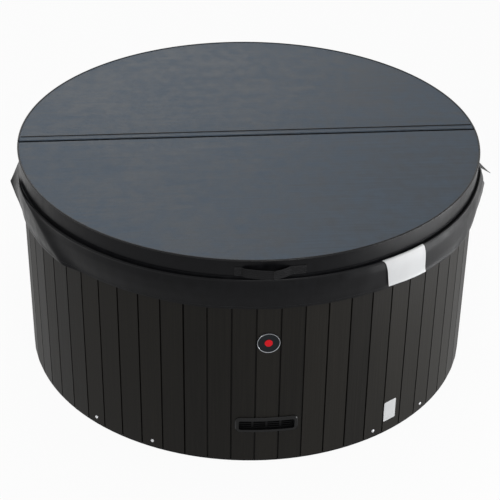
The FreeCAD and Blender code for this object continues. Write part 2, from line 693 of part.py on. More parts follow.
def make_drain_cap():
    """Turning cap of the drain outlet with a cross grip."""
    plug = DRAIN_BARREL - 4 - RUNNING_CLEARANCE
    cap = lathe([(0, -16), (plug, -16), (plug, 6.4), (25, 6.4), (25, 14), (23, 16), (0, 16)], ORIGIN, UP)
    grip = block((-21, -4, 15), (21, 4, 26))
    notches = [rod(polar(27, 60 * turn, 5), polar(27, 60 * turn, 20), 4) for turn in range(6)]
    cap = fused([cap, grip]).cut(notches)
    place = polar(BODY_RADIUS, DRAIN_AZIMUTH, OUTLET_HEIGHT)
    cap.Placement = FreeCAD.Placement(place, FreeCAD.Rotation(UP, outward(DRAIN_AZIMUTH)))
    return cap


# Filter

def make_filter_well():
    """Cup under the bench for the filter, with its flange on the seat."""
    outer = WELL_RADIUS + WELL_WALL
    floor = WELL_BOTTOM + WELL_WALL
    profile = [
        (0, WELL_BOTTOM), (outer, WELL_BOTTOM), (outer, SEAT_HEIGHT), (106, SEAT_HEIGHT),
        (103, SEAT_HEIGHT + 5), (WELL_RADIUS + 2, SEAT_HEIGHT + 5), (WELL_RADIUS, SEAT_HEIGHT + 3),
        (WELL_RADIUS, floor), (0, floor),
    ]
    return lathe(profile, polar(WELL_DISTANCE, WELL_AZIMUTH), UP)


def make_filter_cartridge():
    """Pleated cartridge with end caps and a lifting handle."""
    bottom = WELL_BOTTOM + WELL_WALL + 2
    top = SEAT_HEIGHT - 25
    cap = 14.0
    step = 360.0 / PLEAT_COUNT
    star = []
    for pleat in range(PLEAT_COUNT):
        star += [polar(74, pleat * step, bottom + cap / 2), polar(60, (pleat + 0.5) * step, bottom + cap / 2)]
    pleats = outline(star).extrude(UP * (top - bottom - cap))
    caps = [Part.makeCylinder(76, cap, V(0, 0, z)) for z in (bottom, top - cap)]
    loop = [V(-40, 0, top - 5), V(-40, 0, top + 24), V(40, 0, top + 24), V(40, 0, top - 5)]
    handle = bent_pipe(loop, 5, 20)
    cartridge = fused([pleats, *caps, handle])
    cartridge.translate(polar(WELL_DISTANCE, WELL_AZIMUTH))
    return cartridge


# Deck controls

def make_valve_bodies():
    """Body of each deck valve: flange on the deck and a barrel with the stem's bore."""
    top = DECK_HEIGHT + VALVE_FLANGE
    bore_end = DECK_HEIGHT - 30
    profile = [
        (0, VALVE_BOTTOM), (VALVE_BARREL, VALVE_BOTTOM), (VALVE_BARREL, DECK_HEIGHT), (30, DECK_HEIGHT),
        (29, top), (KNOB_STEM, top), (KNOB_STEM, bore_end), (0, bore_end),
    ]
    return group([lathe(profile, polar(DECK_CONTROL_RADIUS, azimuth), UP)
                  for azimuth in VALVE_AZIMUTHS.values()])


def make_deck_knob(name):
    """Turning knob of a deck valve: fluted cap, pointer and stem."""
    seat = DECK_HEIGHT + VALVE_FLANGE + 0.4
    stem = KNOB_STEM - RUNNING_CLEARANCE
    tip = DECK_HEIGHT - 24
    knob = revolved([(0, tip), (stem, tip), (stem, seat), (27, seat), (25, seat + 12), (22, seat + 13.5),
                     (0, seat + 13.5)])
    flutes = [rod(polar(29, 40 * turn, seat - 1), polar(27, 40 * turn, seat + 20), 5) for turn in range(9)]
    pointer = block((-2, -22, seat + 8), (2, -6, seat + 15))
    knob = fused([knob, pointer]).cut(flutes)
    azimuth = VALVE_AZIMUTHS[name]
    return turned(knob, azimuth).translated(polar(DECK_CONTROL_RADIUS, azimuth))


def panel_block(length, depth, bottom, top):
    """Box on the deck at the control panel's place."""
    far = PANEL_DISTANCE + depth / 2
    near = PANEL_DISTANCE - depth / 2
    return turned(block((-length / 2, -far, bottom), (length / 2, -near, top)), PANEL_AZIMUTH)


def button_place(index, z):
    """Middle of one of the control panel's three buttons."""
    return plan_point(PANEL_AZIMUTH, (index - 1) * BUTTON_SPACING, PANEL_DISTANCE, z)


def make_topside_panel():
    """Control panel let into the deck, with pockets for its buttons and a display window."""
    top = DECK_HEIGHT + PANEL_THICKNESS
    plate = panel_block(PANEL_LENGTH, PANEL_DEPTH, DECK_HEIGHT, top)
    uprights = [edge for edge in plate.Edges if edge.BoundBox.ZLength > PANEL_THICKNESS - 0.1]
    plate = plate.makeFillet(10, uprights)
    body = panel_block(PANEL_LENGTH - 16, PANEL_DEPTH - 16, DECK_HEIGHT - 30, DECK_HEIGHT + 1)
    pockets = [Part.makeCylinder(BUTTON_RADIUS + 0.1, BUTTON_POCKET, button_place(i, top - BUTTON_POCKET))
               for i in range(3)]
    return fused([plate, body]).cut(pockets)


def make_button(index):
    """One push button of the control panel."""
    top = DECK_HEIGHT + PANEL_THICKNESS
    foot = top - BUTTON_POCKET + 2
    profile = [(0, foot), (BUTTON_RADIUS, foot), (BUTTON_RADIUS, top + 1.4), (BUTTON_RADIUS - 1, top + 2),
               (0, top + 2)]
    return lathe(profile, button_place(index, 0), UP)


# Equipment bay

def make_pump_motor():
    """Finned motor on its foot, with an end bell."""
    start = V(-300, PUMP_Y, PUMP_Z)
    along = V(1, 0, 0)
    case = lathe([(0, 0), (44, 0), (62, 14), (62, 250), (50, 260), (0, 260)], start, along)
    fins = []
    for turn in range(12):
        fin = block((-255, PUMP_Y - 2, PUMP_Z + 50), (-75, PUMP_Y + 2, PUMP_Z + 72))
        fins.append(fin.rotated(V(0, PUMP_Y, PUMP_Z), along, 30 * turn + 15))
    foot = block((-250, PUMP_Y - 60, BASE_THICKNESS), (-90, PUMP_Y + 60, BASE_THICKNESS + 10))
    pedestal = block((-220, PUMP_Y - 30, BASE_THICKNESS), (-120, PUMP_Y + 30, PUMP_Z - 30))
    return fused([case, *fins, foot, pedestal])


def make_pump_wet_end():
    """Volute of the pump with its suction and discharge ports."""
    along = V(1, 0, 0)
    volute = lathe([(0, 0), (74, 0), (86, 10), (86, 52), (60, 66), (40, 70), (40, 128), (0, 128)],
                   V(-38, PUMP_Y, PUMP_Z), along)
    discharge = rod(V(-5, PUMP_Y + 55, PUMP_Z), V(-5, PUMP_Y + 55, 240), 30)
    union = rod(V(-5, PUMP_Y + 55, 205), V(-5, PUMP_Y + 55, 240), 38)
    return fused([volute, discharge, union])


def make_heater():
    """Tube heater with a union at each end and its terminal box."""
    tube = lathe([(0, -236), (44, -236), (44, -190), (32, -190), (32, 190), (44, 190), (44, 236), (0, 236)],
                 V(0, HEATER_Y, HEATER_Z), V(1, 0, 0))
    terminals = block((-70, HEATER_Y - 26, HEATER_Z + 20), (70, HEATER_Y + 26, HEATER_Z + 62))
    return fused([tube, terminals])


def make_control_box():
    """Control box on the base pan, with a raised lid and cable entries."""
    low = (-330, -600, BASE_THICKNESS)
    high = (-70, -490, 190)
    box = block(low, high)
    lid = block((low[0] - 4, low[1] - 4, 190), (high[0] + 4, high[1] + 4, 202))
    entries = [rod(V(x, -600, 60), V(x, -622, 60), 11) for x in (-290, -250, -210)]
    return fused([box, lid, *entries])


def make_pump_pipes():
    """Suction pipe to the pump, pump to heater pipe and heater to manifold pipe."""
    header = rod(polar(SUCTION_HEADER, SUCTION_AZIMUTH, SUCTION_HEIGHTS[0] - 30),
                 polar(SUCTION_HEADER, SUCTION_AZIMUTH, SUCTION_HEIGHTS[1] + 30), PIPE_RADIUS)
    turn = polar(600, SUCTION_AZIMUTH, 200)
    suction = bent_pipe([polar(SUCTION_HEADER, SUCTION_AZIMUTH, 200), turn, V(turn.x, PUMP_Y, PUMP_Z),
                         V(90, PUMP_Y, PUMP_Z)], PIPE_RADIUS, PIPE_BEND)
    discharge_y = PUMP_Y + 55
    route = [V(-5, discharge_y, 240), V(-5, discharge_y, HEATER_Z), V(-300, discharge_y, HEATER_Z),
             V(-300, HEATER_Y, HEATER_Z), V(-236, HEATER_Y, HEATER_Z)]
    discharge = bent_pipe(route, PIPE_RADIUS, PIPE_BEND)
    riser = polar(MANIFOLD_RADIUS, RISER_AZIMUTH, HEATER_Z)
    outlet = bent_pipe([V(236, HEATER_Y, HEATER_Z), V(290, HEATER_Y, HEATER_Z), riser,
                        polar(MANIFOLD_RADIUS, RISER_AZIMUTH, RISER_BOTTOM)], MANIFOLD_TUBE, PIPE_BEND)
    return group([fused([header, suction]), discharge, outlet])


# Cover, made as its front half

def cover_top(distance):
    """Height of the sloping top at a distance from the fold."""
    return COVER_BOTTOM + FOLD_THICKNESS - (FOLD_THICKNESS - EDGE_THICKNESS) * distance / COVER_RADIUS


def cover_slice(radius, near, far, low, high):
    """Piece of the front half between two distances from the fold and two heights.

    low is a height or None, high an offset from the sloping top; with low None the piece is a
    layer of the top itself, SKIN or less thick.
    """
    wide = radius + 10
    bottoms = [cover_top(near), cover_top(far)] if low is None else [low, low]
    tops = [cover_top(near) + high, cover_top(far) + high]
    ends = ((near, bottoms[0]), (near, tops[0]), (far, tops[1]), (far, bottoms[1]))
    wedge = outline([V(-wide, -distance, z) for distance, z in ends]).extrude(V(2 * wide, 0, 0))
    return wedge.common(Part.makeCylinder(radius, 300, V(0, 0, COVER_BOTTOM - 100)))


def make_channel():
    """Steel channel that stiffens the fold edge of the foam."""
    low = COVER_BOTTOM + SKIN
    high = cover_top(CHANNEL_DEPTH) - SKIN - 4
    near = FOLD_GAP + SKIN
    half = CHANNEL_HALF_LENGTH
    web = block((-half, -near - CHANNEL_SHEET, low), (half, -near, high))
    flanges = [block((-half, -near - CHANNEL_DEPTH, z), (half, -near, z + CHANNEL_SHEET))
               for z in (low, high - CHANNEL_SHEET)]
    return fused([web, *flanges])


def make_foam():
    """Tapered foam core of one half, slotted for its channel."""
    core = cover_slice(CORE_RADIUS, FOLD_GAP + SKIN, COVER_RADIUS, COVER_BOTTOM + SKIN, -SKIN)
    return core.cut(make_channel())


def make_jacket():
    """Vinyl tray round the foam: underside, side band and fold wall."""
    outer = cover_slice(COVER_RADIUS, FOLD_GAP, COVER_RADIUS + 5, COVER_BOTTOM, -SKIN)
    hollow = cover_slice(CORE_RADIUS, FOLD_GAP + SKIN, COVER_RADIUS + 5, COVER_BOTTOM + SKIN, 0)
    return outer.cut(hollow)


def make_top():
    """Sloping vinyl top panel of one half."""
    return cover_slice(COVER_RADIUS, FOLD_GAP, COVER_RADIUS + 5, None, -SKIN)


def make_welt():
    """Many-sided piping sewn along the curved top edge of one half."""
    corners = []
    for side in range(WELT_SIDES):
        turn = 2 * math.pi * (side + 0.5) / WELT_SIDES
        corners.append((COVER_RADIUS + WELT_RADIUS * math.cos(turn),
                        cover_top(0) - WELT_SINK + WELT_RADIUS * math.sin(turn)))
    bead = revolved_arc(corners, -SKIRT_END, SKIRT_END)
    bead = bead.rotated(V(0, 0, cover_top(0)), V(1, 0, 0), SLOPE)
    return bead.cut(cover_slice(COVER_RADIUS, 0, COVER_RADIUS + 5, COVER_BOTTOM, 0))


def skirt_line(flare):
    """Outer face of the skirt from its seam to the hem: a full fold at the top, then hanging in."""
    return [
        (COVER_RADIUS + CLOTH, SKIRT_TOP, 0),
        (COVER_RADIUS + 14 + 0.15 * flare, SKIRT_TOP - 20, 16),
        (COVER_RADIUS + 10 + 0.5 * flare, SKIRT_TOP - 78, 150),
        (COVER_RADIUS + 6 + flare, HEM_HEIGHT, 0),
    ]


def skirt_profile(flare):
    """Section of the skirt's cloth, outer face down and inner face up."""
    outer = skirt_line(flare)
    inner = [(radius - CLOTH, z, fillet) for radius, z, fillet in reversed(outer)]
    return outer + inner


def make_skirt(flares):
    """Hanging skirt of one half, flared out at its loose left and right ends beside the fold."""
    middle = revolved_arc(skirt_profile(0.0), -FLARE_START, FLARE_START)
    ends = []
    for side, flare in zip((-1, 1), flares):
        wires = []
        for section in range(FLARE_SECTIONS):
            share = section / (FLARE_SECTIONS - 1)
            azimuth = side * (FLARE_START + share * (SKIRT_END - FLARE_START))
            wires.append(turned(profile_face(skirt_profile(flare * share**1.6)).OuterWire, azimuth - 90))
        ends.append(Part.makeLoft(wires, True, False))
    return fused([middle, *ends])


def make_handle():
    """Webbing handle: a tab sewn to the band at each end and a loop kinked in the middle."""
    corners = [(HANDLE_TAB_END, None, 0), (HANDLE_TAB_START, None, 10), (HANDLE_KINK, HANDLE_REACH, 10)]
    inner = []
    for x, reach, fillet in corners:
        inner.append((x, reach or math.sqrt(COVER_RADIUS**2 - x**2) - 0.2, fillet))
    inner += [(-x, reach, fillet) for x, reach, fillet in reversed(inner)]
    outer = [(x, reach + HANDLE_STRAP, fillet) for x, reach, fillet in reversed(inner)]
    points = [V(x, -reach, HANDLE_BOTTOM) for x, reach, fillet in inner + outer]
    strap = outline(points, [fillet for x, reach, fillet in inner + outer]).extrude(UP * HANDLE_HEIGHT)
    return strap.cut(Part.makeCylinder(COVER_RADIUS, RIM_HEIGHT + FOLD_THICKNESS))


def make_care_tag():
    """Blank tag that hangs aslant from the skirt's seam and lies on the skirt."""
    seam, fold, belly, hem = skirt_line(0.0)
    top_share = (seam[1] - TAG_TOP) / (seam[1] - fold[1])
    bottom_share = (belly[1] - TAG_BOTTOM) / (belly[1] - hem[1])
    line = [
        (seam[0] + top_share * (fold[0] - seam[0]), TAG_TOP, 0), fold, belly,
        (belly[0] + bottom_share * (hem[0] - belly[0]), TAG_BOTTOM, 0),
    ]
    outer = [(radius + TAG_SHEET, z, fillet) for radius, z, fillet in line]
    layer = revolved_arc(outer + line[::-1], TAG_AZIMUTH - 12, TAG_AZIMUTH + 12)
    half = TAG_HALF_WIDTH
    corners = [(-half, TAG_TOP), (half, TAG_TOP)]
    corners += [(TAG_LEAN + half, TAG_BOTTOM), (TAG_LEAN - half, TAG_BOTTOM)]
    cut = outline([plan_point(TAG_AZIMUTH, lateral, BODY_RADIUS, z) for lateral, z in corners])
    return layer.common(cut.extrude(outward(TAG_AZIMUTH) * 60))


def make_fold_strip():
    """Vinyl strip sewn on the rear half along the fold."""
    strip = cover_slice(COVER_RADIUS - 6, FOLD_GAP, FOLD_GAP + FOLD_STRIP_WIDTH, None, FOLD_STRIP_THICKNESS)
    return turned(strip, 180)


# All parts by name

def all_parts():
    """Every part of the tub, in its place."""
    parts = {
        "base_pan": make_base_pan(),
        "footwell_block": make_footwell_block(),
        "frame": make_frame(),
        "insulation_blanket": make_insulation_blanket(),
        "cladding_screws": make_cladding_screws(),
        "vent_bezel": make_vent_bezel(),
        "vent_grille": make_vent_grille(),
        "badge_ring": make_badge_ring(),
        "badge_face": make_badge_face(),
        "badge_dot": make_badge_dot(),
        "inner_shell": make_inner_shell(),
        "jet_bodies": make_jet_bodies(),
        "small_jets": make_small_jets(),
        "manifolds": make_manifolds(),
        "suction_grilles": make_suction_grilles(),
        "footwell_light": make_footwell_light(),
        "floor_drain": make_floor_drain(),
        "drain_valve": make_drain_valve(),
        "drain_cap": make_drain_cap(),
        "cable_gland": make_cable_gland(),
        "filter_well": make_filter_well(),
        "filter_cartridge": make_filter_cartridge(),
        "valve_bodies": make_valve_bodies(),
        "topside_panel": make_topside_panel(),
        "pump_motor": make_pump_motor(),
        "pump_wet_end": make_pump_wet_end(),
        "heater": make_heater(),
        "control_box": make_control_box(),
        "pump_pipes": make_pump_pipes(),
        "fold_strip": make_fold_strip(),
        "care_tag": make_care_tag(),
    }
    for name in PANELS:
        parts[name] = make_cladding_panel(name)
    for seat in range(SEAT_COUNT):
        parts[f"jet_face_{seat + 1}"] = make_jet_face(seat)
    for name in VALVE_AZIMUTHS:
        parts[name] = make_deck_knob(name)
    for index in range(3):
        parts[f"button_{index + 1}"] = make_button(index)
    half = {
        "foam": make_foam(),
        "channel": make_channel(),
        "jacket": make_jacket(),
        "top": make_top(),
        "welt": make_welt(),
        "handle": make_handle(),
    }
    for name, shape in half.items():
        parts[f"cover_front_{name}"] = shape
        parts[f"cover_rear_{name}"] = turned(shape, 180)
    parts["cover_front_skirt"] = make_skirt(SKIRT_FLARES["front"])
    parts["cover_rear_skirt"] = turned(make_skirt(SKIRT_FLARES["rear"]), 180)
    return parts


def main():
    """Write one STEP file for each part."""
    os.makedirs("parts", exist_ok=True)
    for name, shape in all_parts().items():
        shape.exportStep(f"parts/{name}.step")


main()
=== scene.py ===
"""Looks of a round hot tub with a folding cover, modelled around its fixed frame.

The frame's axes hold: metres, +Z up, front towards -Y. Azimuths grow from the front towards +X.
"""
import contextlib
import math

import bmesh
import bpy
from bpy.props import FloatProperty, FloatVectorProperty, IntProperty, PointerProperty
from bpy.types import Operator, Panel, PropertyGroup
from mathutils import Matrix, Vector, noise


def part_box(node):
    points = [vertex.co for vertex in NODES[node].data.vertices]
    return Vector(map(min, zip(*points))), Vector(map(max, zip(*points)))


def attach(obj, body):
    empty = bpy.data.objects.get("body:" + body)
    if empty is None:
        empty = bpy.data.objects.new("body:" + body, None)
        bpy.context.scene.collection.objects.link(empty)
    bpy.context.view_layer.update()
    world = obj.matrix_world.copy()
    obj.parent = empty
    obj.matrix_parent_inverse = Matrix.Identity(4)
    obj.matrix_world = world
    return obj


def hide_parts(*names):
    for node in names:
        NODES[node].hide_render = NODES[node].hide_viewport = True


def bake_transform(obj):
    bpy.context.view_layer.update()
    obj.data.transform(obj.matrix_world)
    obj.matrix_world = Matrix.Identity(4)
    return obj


bl_info = {
    "name": "Hot Tub Dresser",
    "version": (1, 0, 0),
    "blender": (4, 5, 0),
    "location": "3D View > Sidebar > Hot Tub",
    "description": "Dresses a round hot tub: folding cover, plank cladding, fittings and studio",
    "category": "Object",
}

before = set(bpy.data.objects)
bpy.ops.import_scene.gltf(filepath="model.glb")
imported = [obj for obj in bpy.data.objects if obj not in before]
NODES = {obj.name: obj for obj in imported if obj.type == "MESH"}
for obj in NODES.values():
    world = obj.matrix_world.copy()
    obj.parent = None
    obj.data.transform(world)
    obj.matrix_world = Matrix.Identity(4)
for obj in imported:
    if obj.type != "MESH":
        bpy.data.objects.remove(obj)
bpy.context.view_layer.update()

# Sizes read from the frame
TOP_LOW, TOP_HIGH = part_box("cover_front_top")
SKIRT_LOW, SKIRT_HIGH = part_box("cover_front_skirt")
HANDLE_LOW, HANDLE_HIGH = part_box("cover_front_handle")
CASE_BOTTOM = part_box("cover_front_jacket")[0].z
STRIP_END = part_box("fold_strip")[1].x
BODY_RADIUS = -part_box("cladding_access_panel")[0].y

SKIN = 0.003
PLANK_COUNT = 64
COVER_RADIUS = -TOP_LOW.y
FOLD_GAP = -TOP_HIGH.y
FOLD_TOP = TOP_HIGH.z
EDGE_TOP = TOP_LOW.z + SKIN
SKIRT_END = math.acos(-SKIRT_HIGH.y / SKIRT_HIGH.x)

# Waves in the cloth are given as waves along it, waves down it and a seed.

# The tops: how the rows crowd towards the fold, the rolled and tucked edge there, and where the crown is full
ROW_CROWDING = 1.5
EDGE_ROLL = 0.008
EDGE_TUCK = 0.0026
CROWN_REACH = 0.12
TOP_WAVES = (3.1, 4.3, 0.7)

# The cases: rounded foot, inset underside, wall, where the band starts to swell, and its own slight waves
CASE_EDGE = 0.003
UNDERSIDE_INSET = 0.03
CASE_WALL = 0.0022
BAND_START = 0.1
BAND_WAVE = 0.0008
BAND_WAVES = Vector((9.0, 9.0, 14.0))
WELT_SINK = 0.0012

# Section of a hanging skirt as offsets from the cover's edge and the case's foot: the seam in its crevice,
# the rolled top, the waist under it and the fall to the hem
HEM_DROP = SKIRT_LOW.z - CASE_BOTTOM
SKIRT_SECTION = [
    (0.0000, 0.0012), (0.0008, -0.0070), (0.0032, -0.0130), (0.0078, -0.0058), (0.0115, -0.0098),
    (0.0109, -0.0165), (0.0125, -0.0300), (0.0138, -0.0500), (0.0120, -0.0850), (0.0085, -0.1150),
    (0.0060, HEM_DROP)]
WAIST = 0.5

# Roll and crevice: degrees of plain front, degrees over which they fade before the ends, and their place
# between the seam and the hem
PLAIN_FRONT = 32.0
SKIRT_SIDE = 90.0
ROLL_FADE = 28.0
ROLL_START, ROLL_RISE = 0.12, 0.2
CREVICE_FADE = 10.0
CREVICE_PLACE, CREVICE_WIDTH = 0.17, 0.1

# Pleats at the left and the right side of a half. The crease starts at an azimuth and bows down to the hem.
# Its widths towards the middle and the end and its softness are in degrees. The growth says how soon a pleat
# stands out below its start, and the hang how straight the cloth falls from the crease.
PLEAT_TOP = 86.0
PLEAT_SPREAD = 34.0
PLEAT_STARTS = (0.1, 0.5)
PLEAT_BOW = (0.6, 1.0)
PLEAT_WIDTHS = ((2.2, 14.0), (11.0, 11.0))
PLEAT_SOFTNESS = (2.0, 6.0)
PLEAT_GROWTH = (0.8, 1.2)
PLEAT_HANG = (0.9, 0.0)

# Loose ends: how far from the end they hang straight, how flare and lift grow towards it, how the flare grows
# down to the hem, and each half's curve from the seam to the hem
FLAP_REACH = math.radians(13.0)
FLARE_GROWTH = 1.8
LIFT_GROWTH = 3
FLARE_BOW = 1.1
FLAP_CURVE = {"front": 1.0, "rear": 1.7}

# Ripples, the hem's sway, and where the turned hem starts and how far it stands proud
SLOW_RIPPLES = (7.0, 1.3, 3.0)
FAST_RIPPLES = (19.0, 2.6, 9.0)
FAST_SHARE = 0.4
SWAY = 0.003
SWAY_WAVES = (5.0, 0.0, 5.0)
HEM_START = 0.955
HEM_STAND = 0.0006

# Section of the tag over the skirt, sewn in at the seam
TAG_SECTION = [
    (0.0012, 0.0015), (0.0050, -0.0005), (0.0085, -0.0035), (0.0112, -0.0075), (0.0130, -0.0125),
    (0.0140, -0.0200), (0.0147, -0.0320), (0.0153, -0.0520), (0.0135, -0.0860), (0.0100, -0.1150),
    (0.0075, HEM_DROP)]

# The tag: its middle, half width and taper, its top and bottom as shares of the skirt, how much lower its
# right corner ends, its curl and its clearance
TAG_AZIMUTH = math.radians(32.35)
TAG_HALF_WIDTH, TAG_TAPER = 0.099, 0.005
TAG_TOP, TAG_BOTTOM = 0.22, 0.9625
TAG_SLANT = 0.0225
TAG_CURL = 0.006
TAG_CLEARANCE = 0.0012
TAG_PAPER = 0.0006

# The blank plate: its plank counted from the front, its shift from that plank's middle, its foot and its size
PLATE_PLANK = 6
PLATE_SHIFT = -0.0105
PLATE_FOOT = 0.062
PLATE_WIDTH, PLATE_HEIGHT = 0.062, 0.094
PLATE_CORNER = 0.004
PLATE_THICKNESS = 0.0004

# Plan of a handle: shares of its half length, and offsets from the cover's edge; then its line of points
STRAP_PLAN = [
    (-1.0, 0.0034), (-0.90, 0.0034), (-0.80, 0.0040), (-0.70, 0.0130), (-0.35, 0.0228), (0.03, 0.0312),
    (0.07, 0.0320), (0.11, 0.0308), (0.36, 0.0185), (0.48, 0.0100), (0.58, 0.0040), (0.80, 0.0034),
    (1.0, 0.0034)]
STRAP_LINE = [
    (share * HANDLE_HIGH.x, math.sqrt(COVER_RADIUS**2 - (share * HANDLE_HIGH.x) ** 2) + offset)
    for share, offset in STRAP_PLAN]
RIB_HEIGHT, RIB_MIDDLE = 0.0020, 0.6
STRAP_EDGE = 0.0007
STRAP_STEP = 0.005

# Section of the hinge strip across the fold, as distances behind the fold and lifts above the top
HINGE_SECTION = [
    (0.0352, 0.0004), (0.0346, 0.0019), (0.0300, 0.0022), (0.0180, 0.0016), (0.0095, 0.0022),
    (0.0056, 0.0016), (0.0036, -0.0014), (0.0030, -0.0085), (0.0000, -0.0120), (-0.0030, -0.0085),
    (-0.0040, -0.0022), (-0.0062, -0.0006)]
HINGE_CLOTH = 0.0012
STRIP_MARGIN = 0.002
PUCKER = 0.0004
PUCKER_WAVES = (30.0, 60.0, 1.0)

# Below this depth the strip's faces in the fold's valley take the dark vinyl, as painted shade in the fold
PAINTED_SHADE_DEPTH = 0.0010

# Section of the binding on the strip's rear edge
BINDING_SECTION = [(0.0400, 0.0002), (0.0391, 0.0031), (0.0363, 0.0043), (0.0336, 0.0038), (0.0322, 0.0024)]
BINDING_CLOTH = 0.0008

# Stitches: their share of the pitch, their thread and a row's lift; then the rows on the hem, the strip,
# the handles' tabs as shares of length and height, and the tag
STITCH_SHARE = 0.36
THREAD = 0.0005
ROW_LIFT = 0.0003
HEM_ROW, HEM_LIFT, HEM_SHARE = 0.945, 0.0002, 0.998
HINGE_ROW, HINGE_LIFT, HINGE_MARGIN = 0.031, 0.0025, 0.006
TAB_ENDS = ((0.012, 0.135), (0.988, 0.865))
TAB_HEIGHTS = (0.12, 0.88)
TAG_ROW = 0.05

# Shading of the frame's parts: points closer than this are one, and edges sharper than this stay crisp
TOUCH = 1e-5
CRISP_ANGLE = math.radians(32.0)


# Settings that a user would change

class CoverSizes(PropertyGroup):
    """Sizes of the cover's soft pieces"""

    top_crown: FloatProperty(
        name="Top Crown", description="How far the vinyl top swells above its edges",
        default=0.0022, unit="LENGTH")
    top_wave: FloatProperty(
        name="Top Wave", description="Height of the slow waves in the stretched top",
        default=0.0009, unit="LENGTH")
    band_bulge: FloatProperty(
        name="Band Bulge", description="How far the side band swells between its seams",
        default=0.0009, unit="LENGTH")
    welt_radius: FloatProperty(
        name="Welt Radius", description="Radius of the piping on the top edge", default=0.0038, unit="LENGTH")
    cloth: FloatProperty(
        name="Cloth", description="Thickness of the skirt's vinyl", default=0.0018, unit="LENGTH")
    flares: FloatVectorProperty(
        name="Flares", description="How far the hem's ends stand out: front left and right, then rear",
        default=(0.037, 0.060, 0.085, 0.030), size=4, unit="LENGTH")
    lifts: FloatVectorProperty(
        name="Lifts", description="How far the same ends are lifted",
        default=(0.039, -0.040, 0.0, 0.020), size=4, unit="LENGTH")
    starts: FloatVectorProperty(
        name="Starts", description="Azimuths from which the same ends stand out",
        default=[math.radians(start) for start in (78.0, 68.0, 77.0, 81.0)], size=4, unit="ROTATION")
    rolls: FloatVectorProperty(
        name="Rolls", description="How much fuller the skirt's rolled top is at the left and right side",
        default=(0.007, 0.002), size=2, unit="LENGTH")
    crevices: FloatVectorProperty(
        name="Crevices", description="How much deeper the crevice at the seam is at the left and right side",
        default=(0.003, 0.001), size=2, unit="LENGTH")
    pleats: FloatVectorProperty(
        name="Pleats", description="How far the pleats at the left and right side stand out at the hem",
        default=(0.021, 0.016), size=2, unit="LENGTH")
    ripple: FloatProperty(
        name="Ripple", description="Depth of the slow ripples along the hem", default=0.0022, unit="LENGTH")
    strap: FloatProperty(
        name="Strap", description="Thickness of the handles' webbing", default=0.0028, unit="LENGTH")
    rib_count: IntProperty(
        name="Webbing Ribs", description="Raised ribs along each handle", default=5, min=1)
    stitch_pitch: FloatProperty(
        name="Stitch Pitch", description="Distance from one stitch to the next",
        default=0.0075, unit="LENGTH")
    tag_lean: FloatProperty(
        name="Tag Lean", description="How far the tag's lower edge hangs to the right",
        default=0.030, unit="LENGTH")


class FinishColours(PropertyGroup):
    """Colours of the main finishes"""

    vinyl: FloatVectorProperty(
        name="Cover Top", description="Slate vinyl of the cover's top",
        default=(0.039, 0.0555, 0.0765), subtype="COLOR")
    band: FloatVectorProperty(
        name="Cover Side", description="Vinyl of the side band and the skirt",
        default=(0.0040, 0.0041, 0.0049), subtype="COLOR")
    planks: FloatVectorProperty(
        name="Planks", description="Espresso cladding planks",
        default=(0.0118, 0.0108, 0.0092), subtype="COLOR")
    trim: FloatVectorProperty(
        name="Trim", description="Black moulded plastic", default=(0.0050, 0.0050, 0.0054), subtype="COLOR")
    webbing: FloatVectorProperty(
        name="Webbing", description="Woven handles", default=(0.0120, 0.0120, 0.0128), subtype="COLOR")
    tag: FloatVectorProperty(
        name="Tag", description="Blank tag and plate", default=(0.56, 0.565, 0.57), subtype="COLOR")
    acrylic: FloatVectorProperty(
        name="Shell", description="Moulded acrylic shell", default=(0.60, 0.615, 0.63), subtype="COLOR")
    dot: FloatVectorProperty(
        name="Badge Dot", description="Plain dot of the badge", default=(0.70, 0.010, 0.018), subtype="COLOR")


class StudioSettings(PropertyGroup):
    """Camera and lights"""

    lens: FloatProperty(
        name="Lens", description="Focal length on a 36 mm sensor", default=106.85, unit="CAMERA")
    distance: FloatProperty(
        name="Distance", description="From the camera to the tub's middle", default=6.391, unit="LENGTH")
    azimuth: FloatProperty(
        name="Azimuth", description="Camera's turn round the tub",
        default=math.radians(-5.2), subtype="ANGLE")
    elevation: FloatProperty(
        name="Elevation", description="Camera's height above the horizon",
        default=math.radians(32.376), subtype="ANGLE")
    roll: FloatProperty(
        name="Roll", description="Camera's turn about its own axis",
        default=math.radians(0.853), subtype="ANGLE")
    powers: FloatVectorProperty(
        name="Softboxes", description="Powers of the softboxes above, in front, left, right and behind",
        default=(51.0, 100.0, 16.5, 28.0, 15.0), size=5, unit="POWER")
    ambient: FloatProperty(
        name="Ambient", description="Strength of the light from all round", default=0.3)


# Modelling helpers

def deselect():
    """Select nothing, so that the next operator acts on what it adds."""
    bpy.ops.object.select_all(action="DESELECT")


def added(name):
    """The primitive that was just added, under its name."""
    obj = bpy.context.object
    obj.name = name
    obj.data.name = name
    return obj


def only(obj):
    """Select one object and make it the active one."""
    deselect()
    obj.select_set(True)
    bpy.context.view_layer.objects.active = obj


@contextlib.contextmanager
def editing(obj, kind):
    """Edit mode on one object, with all its vertices, edges or faces selected."""
    only(obj)
    bpy.ops.object.mode_set(mode="EDIT")
    bpy.ops.mesh.select_mode(type=kind)
    bpy.ops.mesh.select_all(action="SELECT")
    yield
    bpy.ops.object.mode_set(mode="OBJECT")


def choose(obj, test):
    """Select what passes a test, in the select mode that is on."""
    bpy.ops.mesh.select_all(action="DESELECT")
    mesh = bmesh.from_edit_mesh(obj.data)
    kind = next(iter(mesh.select_mode))
    for element in {"VERT": mesh.verts, "EDGE": mesh.edges, "FACE": mesh.faces}[kind]:
        if test(element):
            element.select_set(True)
    mesh.select_flush_mode()
    bmesh.update_edit_mesh(obj.data)


def reshape(obj, rule):
    """Move each vertex to where the rule puts it."""
    for vertex in obj.data.vertices:
        vertex.co = rule(vertex.co)
    obj.data.update()


